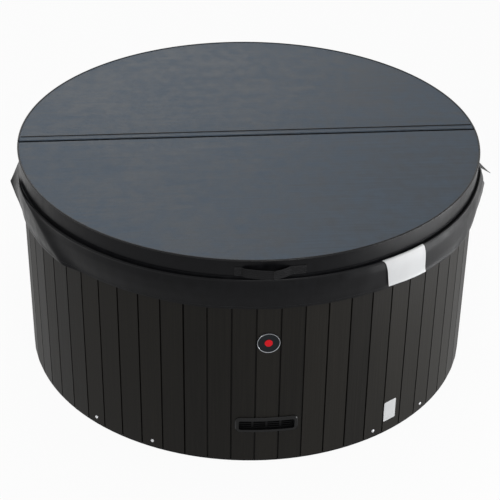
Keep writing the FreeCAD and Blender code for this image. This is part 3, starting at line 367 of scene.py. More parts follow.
def modify(obj, kind, **settings):
    """Add a modifier and apply it."""
    only(obj)
    modifier = obj.modifiers.new(kind.title(), kind)
    for key, value in settings.items():
        setattr(modifier, key, value)
    bpy.ops.object.modifier_apply(modifier=modifier.name)


def smooth(obj, degrees=40.0):
    """Smooth shading that keeps sharp edges."""
    only(obj)
    bpy.ops.object.shade_smooth_by_angle(angle=math.radians(degrees))


def sheet(name, columns, rows, rule, thickness):
    """Cloth: a flat grid from -1 to 1, wrapped to its place by a rule and thickened inwards."""
    deselect()
    bpy.ops.mesh.primitive_grid_add(x_subdivisions=columns, y_subdivisions=rows, size=2)
    obj = added(name)
    reshape(obj, rule)
    modify(obj, "SOLIDIFY", thickness=thickness, offset=-1.0)
    return obj


def turned_copy(obj, name):
    """Copy for the other half of the cover, turned half round."""
    twin = obj.copy()
    twin.data = obj.data.copy()
    twin.name = name
    twin.data.name = name
    twin.data.transform(Matrix.Rotation(math.pi, 4, "Z"))
    bpy.context.collection.objects.link(twin)
    return twin


def place(obj, look, body, slot, *nodes):
    """Give a piece its finish, its body and the nodes that it stands for. The slot is not used."""
    obj.data.materials.clear()
    obj.data.materials.append(finish(look))
    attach(obj, body)
    if nodes:
        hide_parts(*nodes)


def both_halves(front, part, look, slot):
    """Place a front piece, make its rear twin and place that too. Returns the pair."""
    rear = turned_copy(front, front.name.replace("front", "rear"))
    for obj, half in ((front, "front"), (rear, "rear")):
        place(obj, look, f"cover_{half}", slot, f"cover_{half}_{part}")
    return front, rear


# Shapes

def spline(points, share):
    """Point of a smooth curve through a list of points, for a share of its way."""
    spans = len(points) - 1
    at = min(max(share, 0.0), 1.0) * spans
    index = min(int(at), spans - 1)
    t = at - index
    steps = (min(max(index + step, 0), spans) for step in (-1, 0, 1, 2))
    before, start, end, after = (Vector(points[step]) for step in steps)
    return 0.5 * (2 * start + (end - before) * t + (2 * before - 5 * start + 4 * end - after) * t**2
                  + (3 * start - before - 3 * end + after) * t**3)


def run(points):
    """Length of a line of points."""
    return sum((Vector(a) - Vector(b)).length for a, b in zip(points, points[1:]))


def bell(value, middle, width):
    """Smooth hump of height 1 round its middle."""
    return math.exp(-((value - middle) / width) ** 2)


def soft_step(value):
    """Smooth rise from 0 to 1."""
    return value * value * (3 - 2 * value)


def wave(along, down, waves):
    """Slow random rise and fall over a cloth."""
    return noise.noise(Vector((waves[0] * along, waves[1] * down, waves[2])))


def top_height(distance):
    """Height of the sloping top at a distance from the fold."""
    return FOLD_TOP + (EDGE_TOP - FOLD_TOP) * (distance - FOLD_GAP) / (COVER_RADIUS - FOLD_GAP)


# Node helpers

class Tree:
    """A node tree that is being wired."""

    def __init__(self, tree):
        self.nodes = tree.nodes
        self.links = tree.links

    def add(self, kind, inputs=None, **settings):
        """New node with its settings; an input is a plain value or another node's output."""
        node = self.nodes.new(kind)
        for key, value in settings.items():
            setattr(node, key, value)
        for key, value in (inputs or {}).items():
            if isinstance(value, bpy.types.NodeSocket):
                self.links.new(value, node.inputs[key])
            else:
                node.inputs[key].default_value = value
        return node

    def math(self, operation, first, second=0.0):
        """Output of a math node."""
        return self.add("ShaderNodeMath", {0: first, 1: second}, operation=operation).outputs[0]

    def mixed(self, first, share, second, other_share):
        """Sum of two values, each times its share."""
        first = self.math("MULTIPLY", first, share)
        return self.math("ADD", first, self.math("MULTIPLY", second, other_share))

    def stretched(self, vector, factors):
        """Vector with each axis times its factor."""
        return self.add("ShaderNodeVectorMath", {0: vector, 1: factors}, operation="MULTIPLY").outputs[0]

    def noise(self, vector, scale, detail):
        """Output of a noise texture."""
        return self.add("ShaderNodeTexNoise", {"Vector": vector, "Scale": scale, "Detail": detail}).outputs[0]

    def either(self, share, first, second):
        """Two shaders mixed by a share of the second."""
        return self.add("ShaderNodeMixShader", {0: share, 1: first.outputs[0], 2: second.outputs[0]})

    def place(self):
        """Place on the object."""
        return self.add("ShaderNodeTexCoord").outputs["Object"]


def effect(name, inputs):
    """New node group with a Height and a Tone output. Returns its tree, its inputs and a way to end it."""
    group = bpy.data.node_groups.new(name, "ShaderNodeTree")
    for label, default in inputs.items():
        kind = "NodeSocketVector" if isinstance(default, tuple) else "NodeSocketFloat"
        group.interface.new_socket(label, in_out="INPUT", socket_type=kind).default_value = default
    for label in ("Height", "Tone"):
        group.interface.new_socket(label, in_out="OUTPUT", socket_type="NodeSocketFloat")
    tree = Tree(group)
    start = tree.add("NodeGroupInput").outputs
    end = tree.add("NodeGroupOutput").inputs

    def give(height, tone):
        tree.links.new(height, end["Height"])
        tree.links.new(tone, end["Tone"])

    return tree, start, give


def make_vinyl_grain():
    """Pebbled vinyl with long faint streaks and slow cloudy changes of tone."""
    tree, given, give = effect("Vinyl Grain", {
        "Pebbles": 420.0, "Streaks": 60.0, "Stretch": (0.06, 1.0, 1.0)})
    spot = tree.place()
    drawn = tree.stretched(spot, given["Stretch"])
    pebble = tree.add("ShaderNodeTexVoronoi", {"Vector": spot, "Scale": given["Pebbles"], "Smoothness": 0.6},
                      feature="SMOOTH_F1").outputs["Distance"]
    streak = tree.noise(drawn, given["Streaks"], 5.0)
    mottle = tree.noise(tree.stretched(spot, (1.0, 0.8, 1.0)), 22.0, 4.0)
    cloud = tree.noise(spot, 2.4, 2.0)
    height = tree.mixed(pebble, 0.6, streak, 0.5)
    slow = tree.mixed(mottle, 0.9, cloud, 0.6)
    give(height, tree.math("ADD", streak, tree.math("SUBTRACT", slow, 0.75)))


def make_plank_grain():
    """Embossed upright grain, with a tone of its own for each plank and painted shade in the grooves between
    planks.
    """
    tree, given, give = effect("Plank Grain", {"Planks": float(PLANK_COUNT), "Grain": 150.0})
    spot = tree.add("ShaderNodeSeparateXYZ", {0: tree.place()}).outputs
    turn = tree.math("ARCTAN2", spot["X"], tree.math("MULTIPLY", spot["Y"], -1.0))
    count = tree.math("MULTIPLY", tree.math("DIVIDE", turn, 2 * math.pi), given["Planks"])
    count = tree.math("ADD", count, 0.5)
    plank = tree.add("ShaderNodeTexWhiteNoise", {"W": tree.math("FLOOR", count)},
                     noise_dimensions="1D").outputs["Value"]
    upright = tree.mixed(spot["Z"], 0.022, plank, 3.0)
    drawn = tree.add("ShaderNodeCombineXYZ", {"X": spot["X"], "Y": spot["Y"], "Z": upright}).outputs[0]
    grain = tree.noise(drawn, given["Grain"], 6.0)
    wood = tree.mixed(grain, 0.36, plank, 0.22)
    aside = tree.math("ABSOLUTE", tree.math("SUBTRACT", tree.math("FRACT", count), 0.5))
    # Painted shade: the tone is darkened near each plank's edges, where the grooves between planks lie in
    # shade
    groove_shade = tree.add("ShaderNodeMapRange", {"Value": aside, "From Min": 0.462, "From Max": 0.488}).outputs[0]
    give(grain, tree.math("SUBTRACT", tree.math("ADD", wood, 0.21), tree.math("MULTIPLY", groove_shade, 0.6)))


def make_moulded_grain():
    """Fine even texture of a moulding, with slow changes of tone."""
    tree, given, give = effect("Moulded Grain", {"Grain": 900.0, "Clouds": 7.0})
    spot = tree.place()
    fine = tree.noise(spot, given["Grain"], 2.0)
    cloud = tree.noise(spot, given["Clouds"], 3.0)
    give(fine, tree.mixed(fine, 0.35, cloud, 0.65))


def make_brushed_lines():
    """Fine lines drawn along one axis, as a brush leaves on metal."""
    tree, given, give = effect("Brushed Lines", {"Lines": 700.0, "Stretch": (0.03, 1.0, 1.0)})
    line = tree.noise(tree.stretched(tree.place(), given["Stretch"]), given["Lines"], 4.0)
    give(line, line)


def make_weave():
    """Crossed threads of a woven strap that runs along X and stands upright."""
    tree, given, give = effect("Weave", {"Threads": 3000.0})
    spot = tree.add("ShaderNodeSeparateXYZ", {0: tree.place()}).outputs
    warp = tree.math("SINE", tree.math("MULTIPLY", spot["X"], given["Threads"]))
    weft = tree.math("SINE", tree.math("MULTIPLY", spot["Z"], given["Threads"]))
    cross = tree.math("MULTIPLY_ADD", tree.math("MULTIPLY", warp, weft), 0.5)
    cross.node.inputs[2].default_value = 0.5
    fuzz = tree.noise(tree.place(), 1400.0, 3.0)
    give(cross, tree.mixed(cross, 0.5, fuzz, 0.5))


# Finishes

SHINE = "Specular IOR Level"
TONE_RANGE = {"From Min": 0.25, "From Max": 0.75}

# Each finish: a colour or the name of its setting, roughness, effect and its values, contrast of the tone,
# change of the gloss, relief, and plain values for other sockets
FINISHES = {
    "slate vinyl": (
        "vinyl", 0.5, "Vinyl Grain", {"Streaks": 105.0, "Stretch": (0.05, 1.0, 1.0)}, 0.38, 0.1, 0.0004,
        {SHINE: 0.3}),
    "dark vinyl": (
        "band", 0.37, "Vinyl Grain", {"Stretch": (1.0, 1.0, 0.3)}, 0.2, 0.06, 0.0002, {SHINE: 0.11}),
    "piping vinyl": ("band", 0.26, "Vinyl Grain", {"Pebbles": 900.0}, 0.2, 0.05, 0.0001, {SHINE: 0.2}),
    "sewing thread": (
        (0.035, 0.036, 0.039), 0.7, "Moulded Grain", {"Grain": 2500.0}, 0.2, 0.1, 0.0001, {SHINE: 0.3}),
    "woven strap": ("webbing", 0.65, "Weave", {}, 0.4, 0.1, 0.0001, {SHINE: 0.1}),
    "blank tag": ("tag", 0.45, "Moulded Grain", {"Grain": 700.0, "Clouds": 14.0}, 0.05, 0.06, 0.00006, {}),
    "espresso planks": ("planks", 0.5, "Plank Grain", {}, 0.6, 0.1, 0.00045, {SHINE: 0.11}),
    "black plastic": ("trim", 0.45, "Moulded Grain", {}, 0.2, 0.08, 0.00008, {SHINE: 0.1}),
    "gloss black plastic": ("trim", 0.24, "Moulded Grain", {}, 0.2, 0.05, 0.00004, {SHINE: 0.2}),
    "brushed steel": (
        (0.58, 0.585, 0.6), 0.3, "Brushed Lines", {}, 0.12, 0.08, 0.00003, {"Metallic": 1.0}),
    "badge chrome": (
        (0.34, 0.35, 0.37), 0.2, "Moulded Grain", {"Grain": 300.0}, 0.05, 0.05, 0.00002, {"Metallic": 1.0}),
    "badge enamel": (
        (0.008, 0.010, 0.012), 0.3, "Moulded Grain", {"Grain": 1500.0}, 0.3, 0.06, 0.00003, {SHINE: 0.12}),
    "badge red enamel": (
        "dot", 0.3, "Moulded Grain", {"Grain": 1200.0}, 0.12, 0.06, 0.00003, {SHINE: 0.15}),
    "pearl acrylic": (
        "acrylic", 0.16, "Moulded Grain", {"Grain": 45.0, "Clouds": 5.0}, 0.14, 0.04, 0.00002,
        {"Coat Weight": 0.5, "Coat Roughness": 0.05}),
    "grey plastic": ((0.12, 0.125, 0.13), 0.38, "Moulded Grain", {}, 0.12, 0.06, 0.00006, {}),
    "filter fleece": ((0.74, 0.75, 0.74), 0.85, "Moulded Grain", {"Grain": 1600.0}, 0.08, 0.05, 0.0003, {}),
    "frosted lens": (
        (0.75, 0.82, 0.9), 0.25, "Moulded Grain", {"Grain": 600.0}, 0.06, 0.05, 0.00005,
        {"Transmission Weight": 0.35, "IOR": 1.45}),
    "button rubber": ((0.22, 0.23, 0.24), 0.65, "Moulded Grain", {"Grain": 1800.0}, 0.1, 0.05, 0.00005, {}),
    "frame timber": (
        (0.40, 0.27, 0.15), 0.7, "Brushed Lines", {"Lines": 160.0, "Stretch": (1.0, 1.0, 0.04)}, 0.25, 0.1,
        0.0003, {}),
    "bead foam": ((0.78, 0.78, 0.76), 0.85, "Moulded Grain", {"Grain": 260.0}, 0.06, 0.1, 0.0005, {}),
    "foil blanket": (
        (0.6, 0.61, 0.62), 0.4, "Moulded Grain", {"Grain": 120.0}, 0.12, 0.1, 0.001, {"Metallic": 0.6}),
    "white pipe": ((0.7, 0.7, 0.68), 0.35, "Moulded Grain", {}, 0.06, 0.1, 0.00004, {}),
    "motor paint": ((0.045, 0.055, 0.075), 0.4, "Moulded Grain", {"Grain": 500.0}, 0.15, 0.1, 0.0001, {}),
}


def finish(name):
    """Material of a finish, whose colour, roughness and relief follow its effect."""
    if name in bpy.data.materials:
        return bpy.data.materials[name]
    colour, roughness, group_name, values, contrast, gloss_change, relief, sockets = FINISHES[name]
    if isinstance(colour, str):
        colour = getattr(bpy.context.scene.hot_tub_colours, colour)
    material = bpy.data.materials.new(name)
    material.use_nodes = True
    tree = Tree(material.node_tree)
    shader = tree.nodes["Principled BSDF"]
    for key, value in sockets.items():
        shader.inputs[key].default_value = value
    group = tree.add("ShaderNodeGroup", node_tree=bpy.data.node_groups[group_name])
    for key, value in values.items():
        group.inputs[key].default_value = value
    tone = group.outputs["Tone"]
    dark = [channel * (1 - contrast) for channel in colour] + [1.0]
    light = [min(channel * (1 + contrast), 1.0) for channel in colour] + [1.0]
    blend = tree.add("ShaderNodeMapRange", {"Value": tone, **TONE_RANGE}).outputs[0]
    tint = tree.add("ShaderNodeMix", {"Factor": blend}, data_type="RGBA")
    for socket, shade in zip([s for s in tint.inputs if s.type == "RGBA"], (dark, light)):
        socket.default_value = shade
    gloss = tree.add("ShaderNodeMapRange", {
        "Value": tone, **TONE_RANGE, "To Min": roughness - gloss_change, "To Max": roughness + gloss_change})
    height = group.outputs["Height"]
    bump = tree.add("ShaderNodeBump", {"Height": height, "Distance": relief, "Strength": 1.0})
    tree.links.new(next(s for s in tint.outputs if s.type == "RGBA"), shader.inputs["Base Color"])
    tree.links.new(gloss.outputs[0], shader.inputs["Roughness"])
    tree.links.new(bump.outputs[0], shader.inputs["Normal"])
    return material


# Operators that dress the frame

CLADDING_PARTS = {
    "espresso planks": [
        "cladding_access_panel", "cladding_right_panel", "cladding_back_panel", "cladding_left_panel"],
    "black plastic": ["base_pan", "vent_grille", "drain_valve", "drain_cap", "cable_gland"],
    "gloss black plastic": ["vent_bezel"],
    "brushed steel": ["cladding_screws"],
    "badge chrome": ["badge_ring"],
    "badge enamel": ["badge_face"],
    "badge red enamel": ["badge_dot"],
}
INTERIOR_PARTS = {
    "pearl acrylic": ["inner_shell"],
    "grey plastic": ["jet_bodies", "small_jets", "suction_grilles", "filter_well", "valve_bodies"],
    "brushed steel": [
        "jet_face_1", "jet_face_2", "jet_face_3", "jet_face_4", "jet_face_5", "air_knob_left",
        "air_knob_right", "diverter_knob"],
    "filter fleece": ["filter_cartridge"],
    "frosted lens": ["footwell_light"],
    "black plastic": ["topside_panel"],
    "button rubber": ["button_1", "button_2", "button_3"],
}
WORKS_PARTS = {
    "frame timber": ["frame"],
    "bead foam": ["footwell_block", "cover_front_foam", "cover_rear_foam"],
    "foil blanket": ["insulation_blanket"],
    "white pipe": ["manifolds", "pump_pipes", "floor_drain"],
    "motor paint": ["pump_motor"],
    "brushed steel": ["heater", "cover_front_channel", "cover_rear_channel"],
    "black plastic": ["pump_wet_end", "control_box"],
}


def dress(parts):
    """Finishes on parts of the frame, with smooth shading across their curved faces."""
    for look, names in parts.items():
        for name in names:
            obj = NODES[name]
            obj.data.materials.clear()
            obj.data.materials.append(finish(look))
            obj.data.shade_smooth()
            weld = obj.modifiers.new("Weld", "WELD")
            weld.merge_threshold = TOUCH
            crisp = obj.modifiers.new("Crisp Edges", "EDGE_SPLIT")
            crisp.split_angle = CRISP_ANGLE


class HOTTUB_OT_cladding(Operator):
    """Finish the plank cladding, its foot, its screws and what is mounted on it"""

    bl_idname = "hottub.cladding"
    bl_label = "Cladding"

    def execute(self, context):
        dress(CLADDING_PARTS)
        return {"FINISHED"}


class HOTTUB_OT_interior(Operator):
    """Finish the moulded shell, the jets, the filter and the deck controls"""

    bl_idname = "hottub.interior"
    bl_label = "Shell and Fittings"

    def execute(self, context):
        dress(INTERIOR_PARTS)
        return {"FINISHED"}


class HOTTUB_OT_works(Operator):
    """Finish the frame, the insulation and the equipment behind the cladding"""

    bl_idname = "hottub.works"
    bl_label = "Frame and Equipment"

    def execute(self, context):
        dress(WORKS_PARTS)
        return {"FINISHED"}


# Operators that make the cover

class HOTTUB_OT_cover_tops(Operator):
    """Stretch a vinyl panel over the foam of each half"""

    bl_idname = "hottub.cover_tops"
    bl_label = "Cover Tops"

    def execute(self, context):
        sizes = context.scene.hot_tub_sizes

        def stretch(co):
            out = ((1 - co.y) / 2) ** ROW_CROWDING
            across = co.x
            x = COVER_RADIUS * across * math.sqrt(1 - out**2 / 2)
            distance = FOLD_GAP + (COVER_RADIUS - FOLD_GAP) * out * math.sqrt(1 - across**2 / 2)
            rim = min(math.hypot(x, distance) / COVER_RADIUS, 1.0)
            edge = max(0.0, 1 - (distance - FOLD_GAP) / EDGE_ROLL)
            swell = sizes.top_crown * (1 - rim**4) * min(1.0, distance / CROWN_REACH)
            rise = sizes.top_wave * wave(x, distance, TOP_WAVES)
            z = top_height(distance) + swell + rise * (1 - rim**6) - EDGE_TUCK * edge**2
            return Vector((x, -distance, z))

        panel = sheet("front_top_panel", 128, 72, stretch, SKIN)
        smooth(panel)
        for piece in both_halves(panel, "top", "slate vinyl", "cover_vinyl"):
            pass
        return {"FINISHED"}


class HOTTUB_OT_cover_cases(Operator):
    """Make the vinyl tray of each half: side band, underside and fold wall"""

    bl_idname = "hottub.cover_cases"
    bl_label = "Cover Cases"

    def execute(self, context):
        sizes = context.scene.hot_tub_sizes
        deselect()
        bpy.ops.mesh.primitive_circle_add(vertices=288, radius=COVER_RADIUS, fill_type="NGON",
                                          location=(0, 0, CASE_BOTTOM))
        case = added("front_case")
        bpy.ops.object.transform_apply()
        tall = EDGE_TOP - SKIN - CASE_BOTTOM
        with editing(case, "FACE"):
            bpy.ops.mesh.bisect(plane_co=(0, -FOLD_GAP, 0), plane_no=(0, 1, 0), clear_outer=True)
            bpy.ops.mesh.select_all(action="SELECT")
            bpy.ops.mesh.extrude_region_move(TRANSFORM_OT_translate={"value": (0, 0, tall)})
            bpy.ops.mesh.delete(type="ONLY_FACE")
        with editing(case, "EDGE"):
            choose(case, lambda e: abs(e.verts[0].co.z - e.verts[1].co.z) > tall / 2)
            bpy.ops.mesh.subdivide(number_cuts=6)
            choose(case, lambda e: all(v.co.z < CASE_BOTTOM + TOUCH for v in e.verts))
            bpy.ops.mesh.bevel(offset=CASE_EDGE, segments=3, affect="EDGES")
        with editing(case, "FACE"):
            underside = max(len(face.vertices) for face in case.data.polygons)
            choose(case, lambda f: len(f.verts) == underside)
            bpy.ops.mesh.inset(thickness=UNDERSIDE_INSET)
            bpy.ops.mesh.select_all(action="SELECT")
            bpy.ops.mesh.normals_make_consistent(inside=False)

        def fill_out(co):
            share = (co.z - CASE_BOTTOM) / tall
            radius = math.hypot(co.x, co.y)
            rise = top_height(-co.y) - SKIN - CASE_BOTTOM
            swell = 0.0
            if radius > COVER_RADIUS - CASE_EDGE and share > BAND_START:
                arch = math.sin(math.pi * share)
                swell = (sizes.band_bulge + BAND_WAVE * noise.noise(co * BAND_WAVES)) * arch
            out = 1 + swell / max(radius, 0.001)
            y = co.y * out if co.y < -2 * FOLD_GAP else co.y
            return Vector((co.x * out, y, CASE_BOTTOM + rise * share))

        reshape(case, fill_out)
        modify(case, "SOLIDIFY", thickness=CASE_WALL, offset=-1.0)
        smooth(case)
        for piece in both_halves(case, "jacket", "dark vinyl", "cover_band"):
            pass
        return {"FINISHED"}


class HOTTUB_OT_welts(Operator):
    """Sew a welt along the curved top edge of each half"""

    bl_idname = "hottub.welts"
    bl_label = "Welts"

    def execute(self, context):
        sizes = context.scene.hot_tub_sizes
        deselect()
        bpy.ops.mesh.primitive_torus_add(major_radius=COVER_RADIUS, minor_radius=sizes.welt_radius,
                                         major_segments=320, minor_segments=12)
        welt = added("front_welt")
        with editing(welt, "FACE"):
            bpy.ops.mesh.bisect(
                plane_co=(0, -FOLD_GAP, 0), plane_no=(0, 1, 0), clear_outer=True, use_fill=True)
        reshape(welt, lambda co: Vector((co.x, co.y, co.z + top_height(-co.y) - WELT_SINK)))
        smooth(welt)
        both_halves(welt, "welt", "piping vinyl", "cover_vinyl")
        return {"FINISHED"}


def loose_end(half, azimuth):
    """How far a skirt's hem stands out and is lifted near its loose ends, and how straight it hangs there."""
    sizes = bpy.context.scene.hot_tub_sizes
    corner = (1 if azimuth > 0 else 0) + (2 if half == "rear" else 0)
    start = sizes.starts[corner]
    way = max(0.0, (abs(azimuth) - start) / (SKIRT_END - start))
    near = max(0.0, 1 - (SKIRT_END - abs(azimuth)) / FLAP_REACH)
    return sizes.flares[corner] * way**FLARE_GROWTH, sizes.lifts[corner] * way**LIFT_GROWTH, soft_step(near)


def pleat_stand(end, aside, share):
    """How far the pleat at one end stands out, as a share of its size."""
    fall = max(0.0, share - PLEAT_STARTS[end]) / (1 - PLEAT_STARTS[end])
    pleat = PLEAT_TOP - PLEAT_SPREAD * fall**PLEAT_BOW[end]
    away = math.hypot(aside - pleat, PLEAT_SOFTNESS[end]) - PLEAT_SOFTNESS[end]
    width = PLEAT_WIDTHS[end][1 if aside > pleat else 0]
    stand = fall**PLEAT_GROWTH[end] * math.exp(-away / width)
    if aside > pleat:
        crest = max(0.0, (PLEAT_TOP - aside) / PLEAT_SPREAD) ** (1 / PLEAT_BOW[end])
        stand += PLEAT_HANG[end] * (crest**PLEAT_GROWTH[end] - stand)
    return stand


def skirt_point(azimuth, share, lift=0.0, half="front", section=None):
    """Point on a skirt's outer face at an azimuth and a share of its way from the seam to the hem."""
    sizes = bpy.context.scene.hot_tub_sizes
    section = section or SKIRT_SECTION
    seam, hem = section[0], section[-1]
    end = 1 if azimuth > 0 else 0
    out, drop = spline(section, share)
    aside = math.degrees(abs(azimuth))
    slack = max(0.0, share - WAIST) / (1 - WAIST)
    side = 1 - bell(aside, 0.0, PLAIN_FRONT)
    ledge = soft_step(min(max((share - ROLL_START) / ROLL_RISE, 0.0), 1.0))
    out += sizes.rolls[end] * side * (1 - bell(aside, SKIRT_SIDE, ROLL_FADE)) * ledge * (1 - slack)
    crevice = bell(share, CREVICE_PLACE, CREVICE_WIDTH)
    drop -= sizes.crevices[end] * side * (1 - bell(aside, SKIRT_SIDE, CREVICE_FADE)) * crevice
    out += sizes.pleats[end] * pleat_stand(end, aside, share)
    raised, lifted, straight = loose_end(half, azimuth)
    out += raised * share**FLARE_BOW
    drop += lifted * share
    out += straight * (seam[0] + (hem[0] + raised - seam[0]) * share**FLAP_CURVE[half] - out)
    drop += straight * (seam[1] + (hem[1] + lifted - seam[1]) * share - drop)
    out += sizes.ripple * slack * wave(azimuth, share, SLOW_RIPPLES)
    out += FAST_SHARE * sizes.ripple * share * wave(azimuth, share, FAST_RIPPLES)
    out += lift + (HEM_STAND if share > HEM_START else 0.0)
    sway = SWAY * slack * wave(azimuth, share, SWAY_WAVES)
    reach = COVER_RADIUS + out if half == "front" else -COVER_RADIUS - out
    return Vector((reach * math.sin(azimuth), -reach * math.cos(azimuth), CASE_BOTTOM + drop + sway))


class HOTTUB_OT_skirts(Operator):
    """Hang a skirt from each half, loose and flared at its ends"""

    bl_idname = "hottub.skirts"
    bl_label = "Skirts"

    def execute(self, context):
        sizes = context.scene.hot_tub_sizes
        drop = run(SKIRT_SECTION)
        for half in ("front", "rear"):
            skirt = sheet(
                f"{half}_skirt", 320, 70,
                lambda co: skirt_point(co.x * SKIRT_END, (1 - co.y) / 2, 0.0, half), sizes.cloth)
            smooth(skirt, 50.0)
            place(skirt, "dark vinyl", f"cover_{half}", "cover_skirt", f"cover_{half}_skirt")
        return {"FINISHED"}


class HOTTUB_OT_fold_hinge(Operator):
    """Sew the hinge strip on the rear half and across the fold"""

    bl_idname = "hottub.fold_hinge"
    bl_label = "Fold Hinge"

    def execute(self, context):
        half = STRIP_END - STRIP_MARGIN

        def lay(section):
            def rule(co):
                behind, lift = spline(section, (1 - co.y) / 2)
                x = half * co.x
                pucker = PUCKER * wave(x, behind, PUCKER_WAVES)
                return Vector((x, behind, top_height(abs(behind)) + lift + pucker))
            return rule

        hinge = sheet("fold_hinge", 190, 44, lay(HINGE_SECTION), HINGE_CLOTH)
        smooth(hinge, 60.0)
        hinge.data.materials.append(finish("slate vinyl"))
        hinge.data.materials.append(finish("dark vinyl"))
        # Painted shade: faces deep in the fold's valley get the dark vinyl, where the fold lies in shadow
        for face in hinge.data.polygons:
            face.material_index = int(face.center.z < FOLD_TOP - PAINTED_SHADE_DEPTH)
        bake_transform(hinge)
        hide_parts("fold_strip")
        run(HINGE_SECTION)

        binding = sheet("hinge_binding", 190, 10, lay(BINDING_SECTION), BINDING_CLOTH)
        smooth(binding, 60.0)
        place(binding, "dark vinyl", "cover_rear", "cover_vinyl")
        run(BINDING_SECTION)
        return {"FINISHED"}


def strap_point(share, height, lift=0.0):
    """Point on a handle's outer face at a share of its length and a share of its height."""
    sizes = bpy.context.scene.hot_tub_sizes
    x, distance = spline(STRAP_LINE, share)
    ahead = spline(STRAP_LINE, share + STRAP_STEP) - spline(STRAP_LINE, share - STRAP_STEP)
    square = Vector((-ahead.y, ahead.x)).normalized()
    rib = RIB_HEIGHT * (abs(math.sin(math.pi * sizes.rib_count * height)) - RIB_MIDDLE)
    x += square.x * (rib + lift)
    distance += square.y * (rib + lift)
    return Vector((x, -distance, HANDLE_LOW.z + height * (HANDLE_HIGH.z - HANDLE_LOW.z)))


class HOTTUB_OT_handles(Operator):
    """Weave a ribbed handle for each half"""

    bl_idname = "hottub.handles"
    bl_label = "Handles"

    def execute(self, context):
        strap = sheet(
            "front_handle", 120, 50, lambda co: strap_point((1 + co.x) / 2, (1 + co.y) / 2),
            context.scene.hot_tub_sizes.strap)
        modify(strap, "BEVEL", width=STRAP_EDGE, segments=2, limit_method="ANGLE",
               angle_limit=math.radians(60))
        smooth(strap, 50.0)
        both_halves(strap, "handle", "woven strap", "webbing")
        return {"FINISHED"}


def tag_point(across, share, lift=0.0):
    """Point on the hanging tag at a share of its half width and of its drop."""
    sizes = bpy.context.scene.hot_tub_sizes
    lateral = (TAG_HALF_WIDTH - TAG_TAPER * share) * across + sizes.tag_lean * share
    curl = TAG_CURL * share**3 * (0.65 - 0.35 * across)
    bottom = TAG_BOTTOM + TAG_SLANT * across
    return skirt_point(TAG_AZIMUTH + lateral / COVER_RADIUS, TAG_TOP + (bottom - TAG_TOP) * share,
                       TAG_CLEARANCE + curl + lift, section=TAG_SECTION)


class HOTTUB_OT_tags(Operator):
    """Hang the blank tag on the skirt and stick the blank plate on its plank"""

    bl_idname = "hottub.tags"
    bl_label = "Tag and Plate"

    def execute(self, context):
        tag = sheet("hanging_tag", 40, 28, lambda co: tag_point(co.x, (1 - co.y) / 2), TAG_PAPER)
        smooth(tag, 50.0)
        place(tag, "blank tag", "cover_front", "tag_paper", "care_tag")

        deselect()
        bpy.ops.mesh.primitive_plane_add(size=1)
        plate = added("blank_plate")
        with editing(plate, "VERT"):
            bpy.ops.transform.resize(value=(PLATE_WIDTH, PLATE_HEIGHT, 1))
            bpy.ops.mesh.bevel(offset=PLATE_CORNER, segments=4, affect="VERTICES")
        with editing(plate, "FACE"):
            bpy.ops.mesh.extrude_region_move(TRANSFORM_OT_translate={"value": (0, 0, PLATE_THICKNESS)})
        turn = Matrix.Rotation(math.radians(PLATE_PLANK * 360 / PLANK_COUNT), 4, "Z")
        spot = Matrix.Translation((PLATE_SHIFT, -BODY_RADIUS, PLATE_FOOT + PLATE_HEIGHT / 2))
        plate.data.transform(turn @ spot @ Matrix.Rotation(math.radians(90), 4, "X"))
        smooth(plate)
        place(plate, "blank tag", "tub", "tag_paper")
        return {"FINISHED"}


def sew(name, lines, body):
    """Rows of stitches along lines of points, as one piece on a body."""
    pitch = bpy.context.scene.hot_tub_sizes.stitch_pitch
    rows = []
    for line in lines:
        curve = bpy.data.curves.new(name, "CURVE")
        curve.dimensions = "3D"
        track = curve.splines.new("POLY")
        track.points.add(len(line) - 1)
        for point, spot in zip(track.points, line):
            point.co = (*spot, 1.0)
        path = bpy.data.objects.new(name + ".path", curve)
        bpy.context.collection.objects.link(path)
        deselect()
        bpy.ops.mesh.primitive_uv_sphere_add(segments=6, ring_count=4, radius=1)
        stitch = added(name)
        reshape(stitch, lambda co: Vector((
            STITCH_SHARE * pitch * co.x + pitch / 2, THREAD * co.y, THREAD * co.z)))
        modify(stitch, "ARRAY", count=int(run(line) / pitch), use_relative_offset=False,
               use_constant_offset=True, constant_offset_displace=(pitch, 0, 0))
        modify(stitch, "CURVE", object=path, deform_axis="POS_X")
        bpy.data.objects.remove(path)
        rows.append(stitch)
    only(rows[0])
    for row in rows:
        row.select_set(True)
    if len(rows) > 1:
        bpy.ops.object.join()
    seam = added(name)
    smooth(seam, 80.0)
    place(seam, "sewing thread", body, "webbing")
    return seam


def tab_rows():
    """Rows that hold a handle's tabs: a box with a cross in it on each, as lines of points."""
    low, high = TAB_HEIGHTS
    steps = 12
    lines = []
    for start, end in TAB_ENDS:
        box = [(start, low), (end, low), (end, high), (start, high), (start, low)]
        for corners in (box, [(start, low), (end, high)], [(start, high), (end, low)]):
            line = []
            for (a, b), (c, d) in zip(corners, corners[1:]):
                line += [strap_point(a + (c - a) * step / steps, b + (d - b) * step / steps, ROW_LIFT)
                         for step in range(steps)]
            line.append(strap_point(*corners[-1], ROW_LIFT))
            lines.append(line)
    return lines


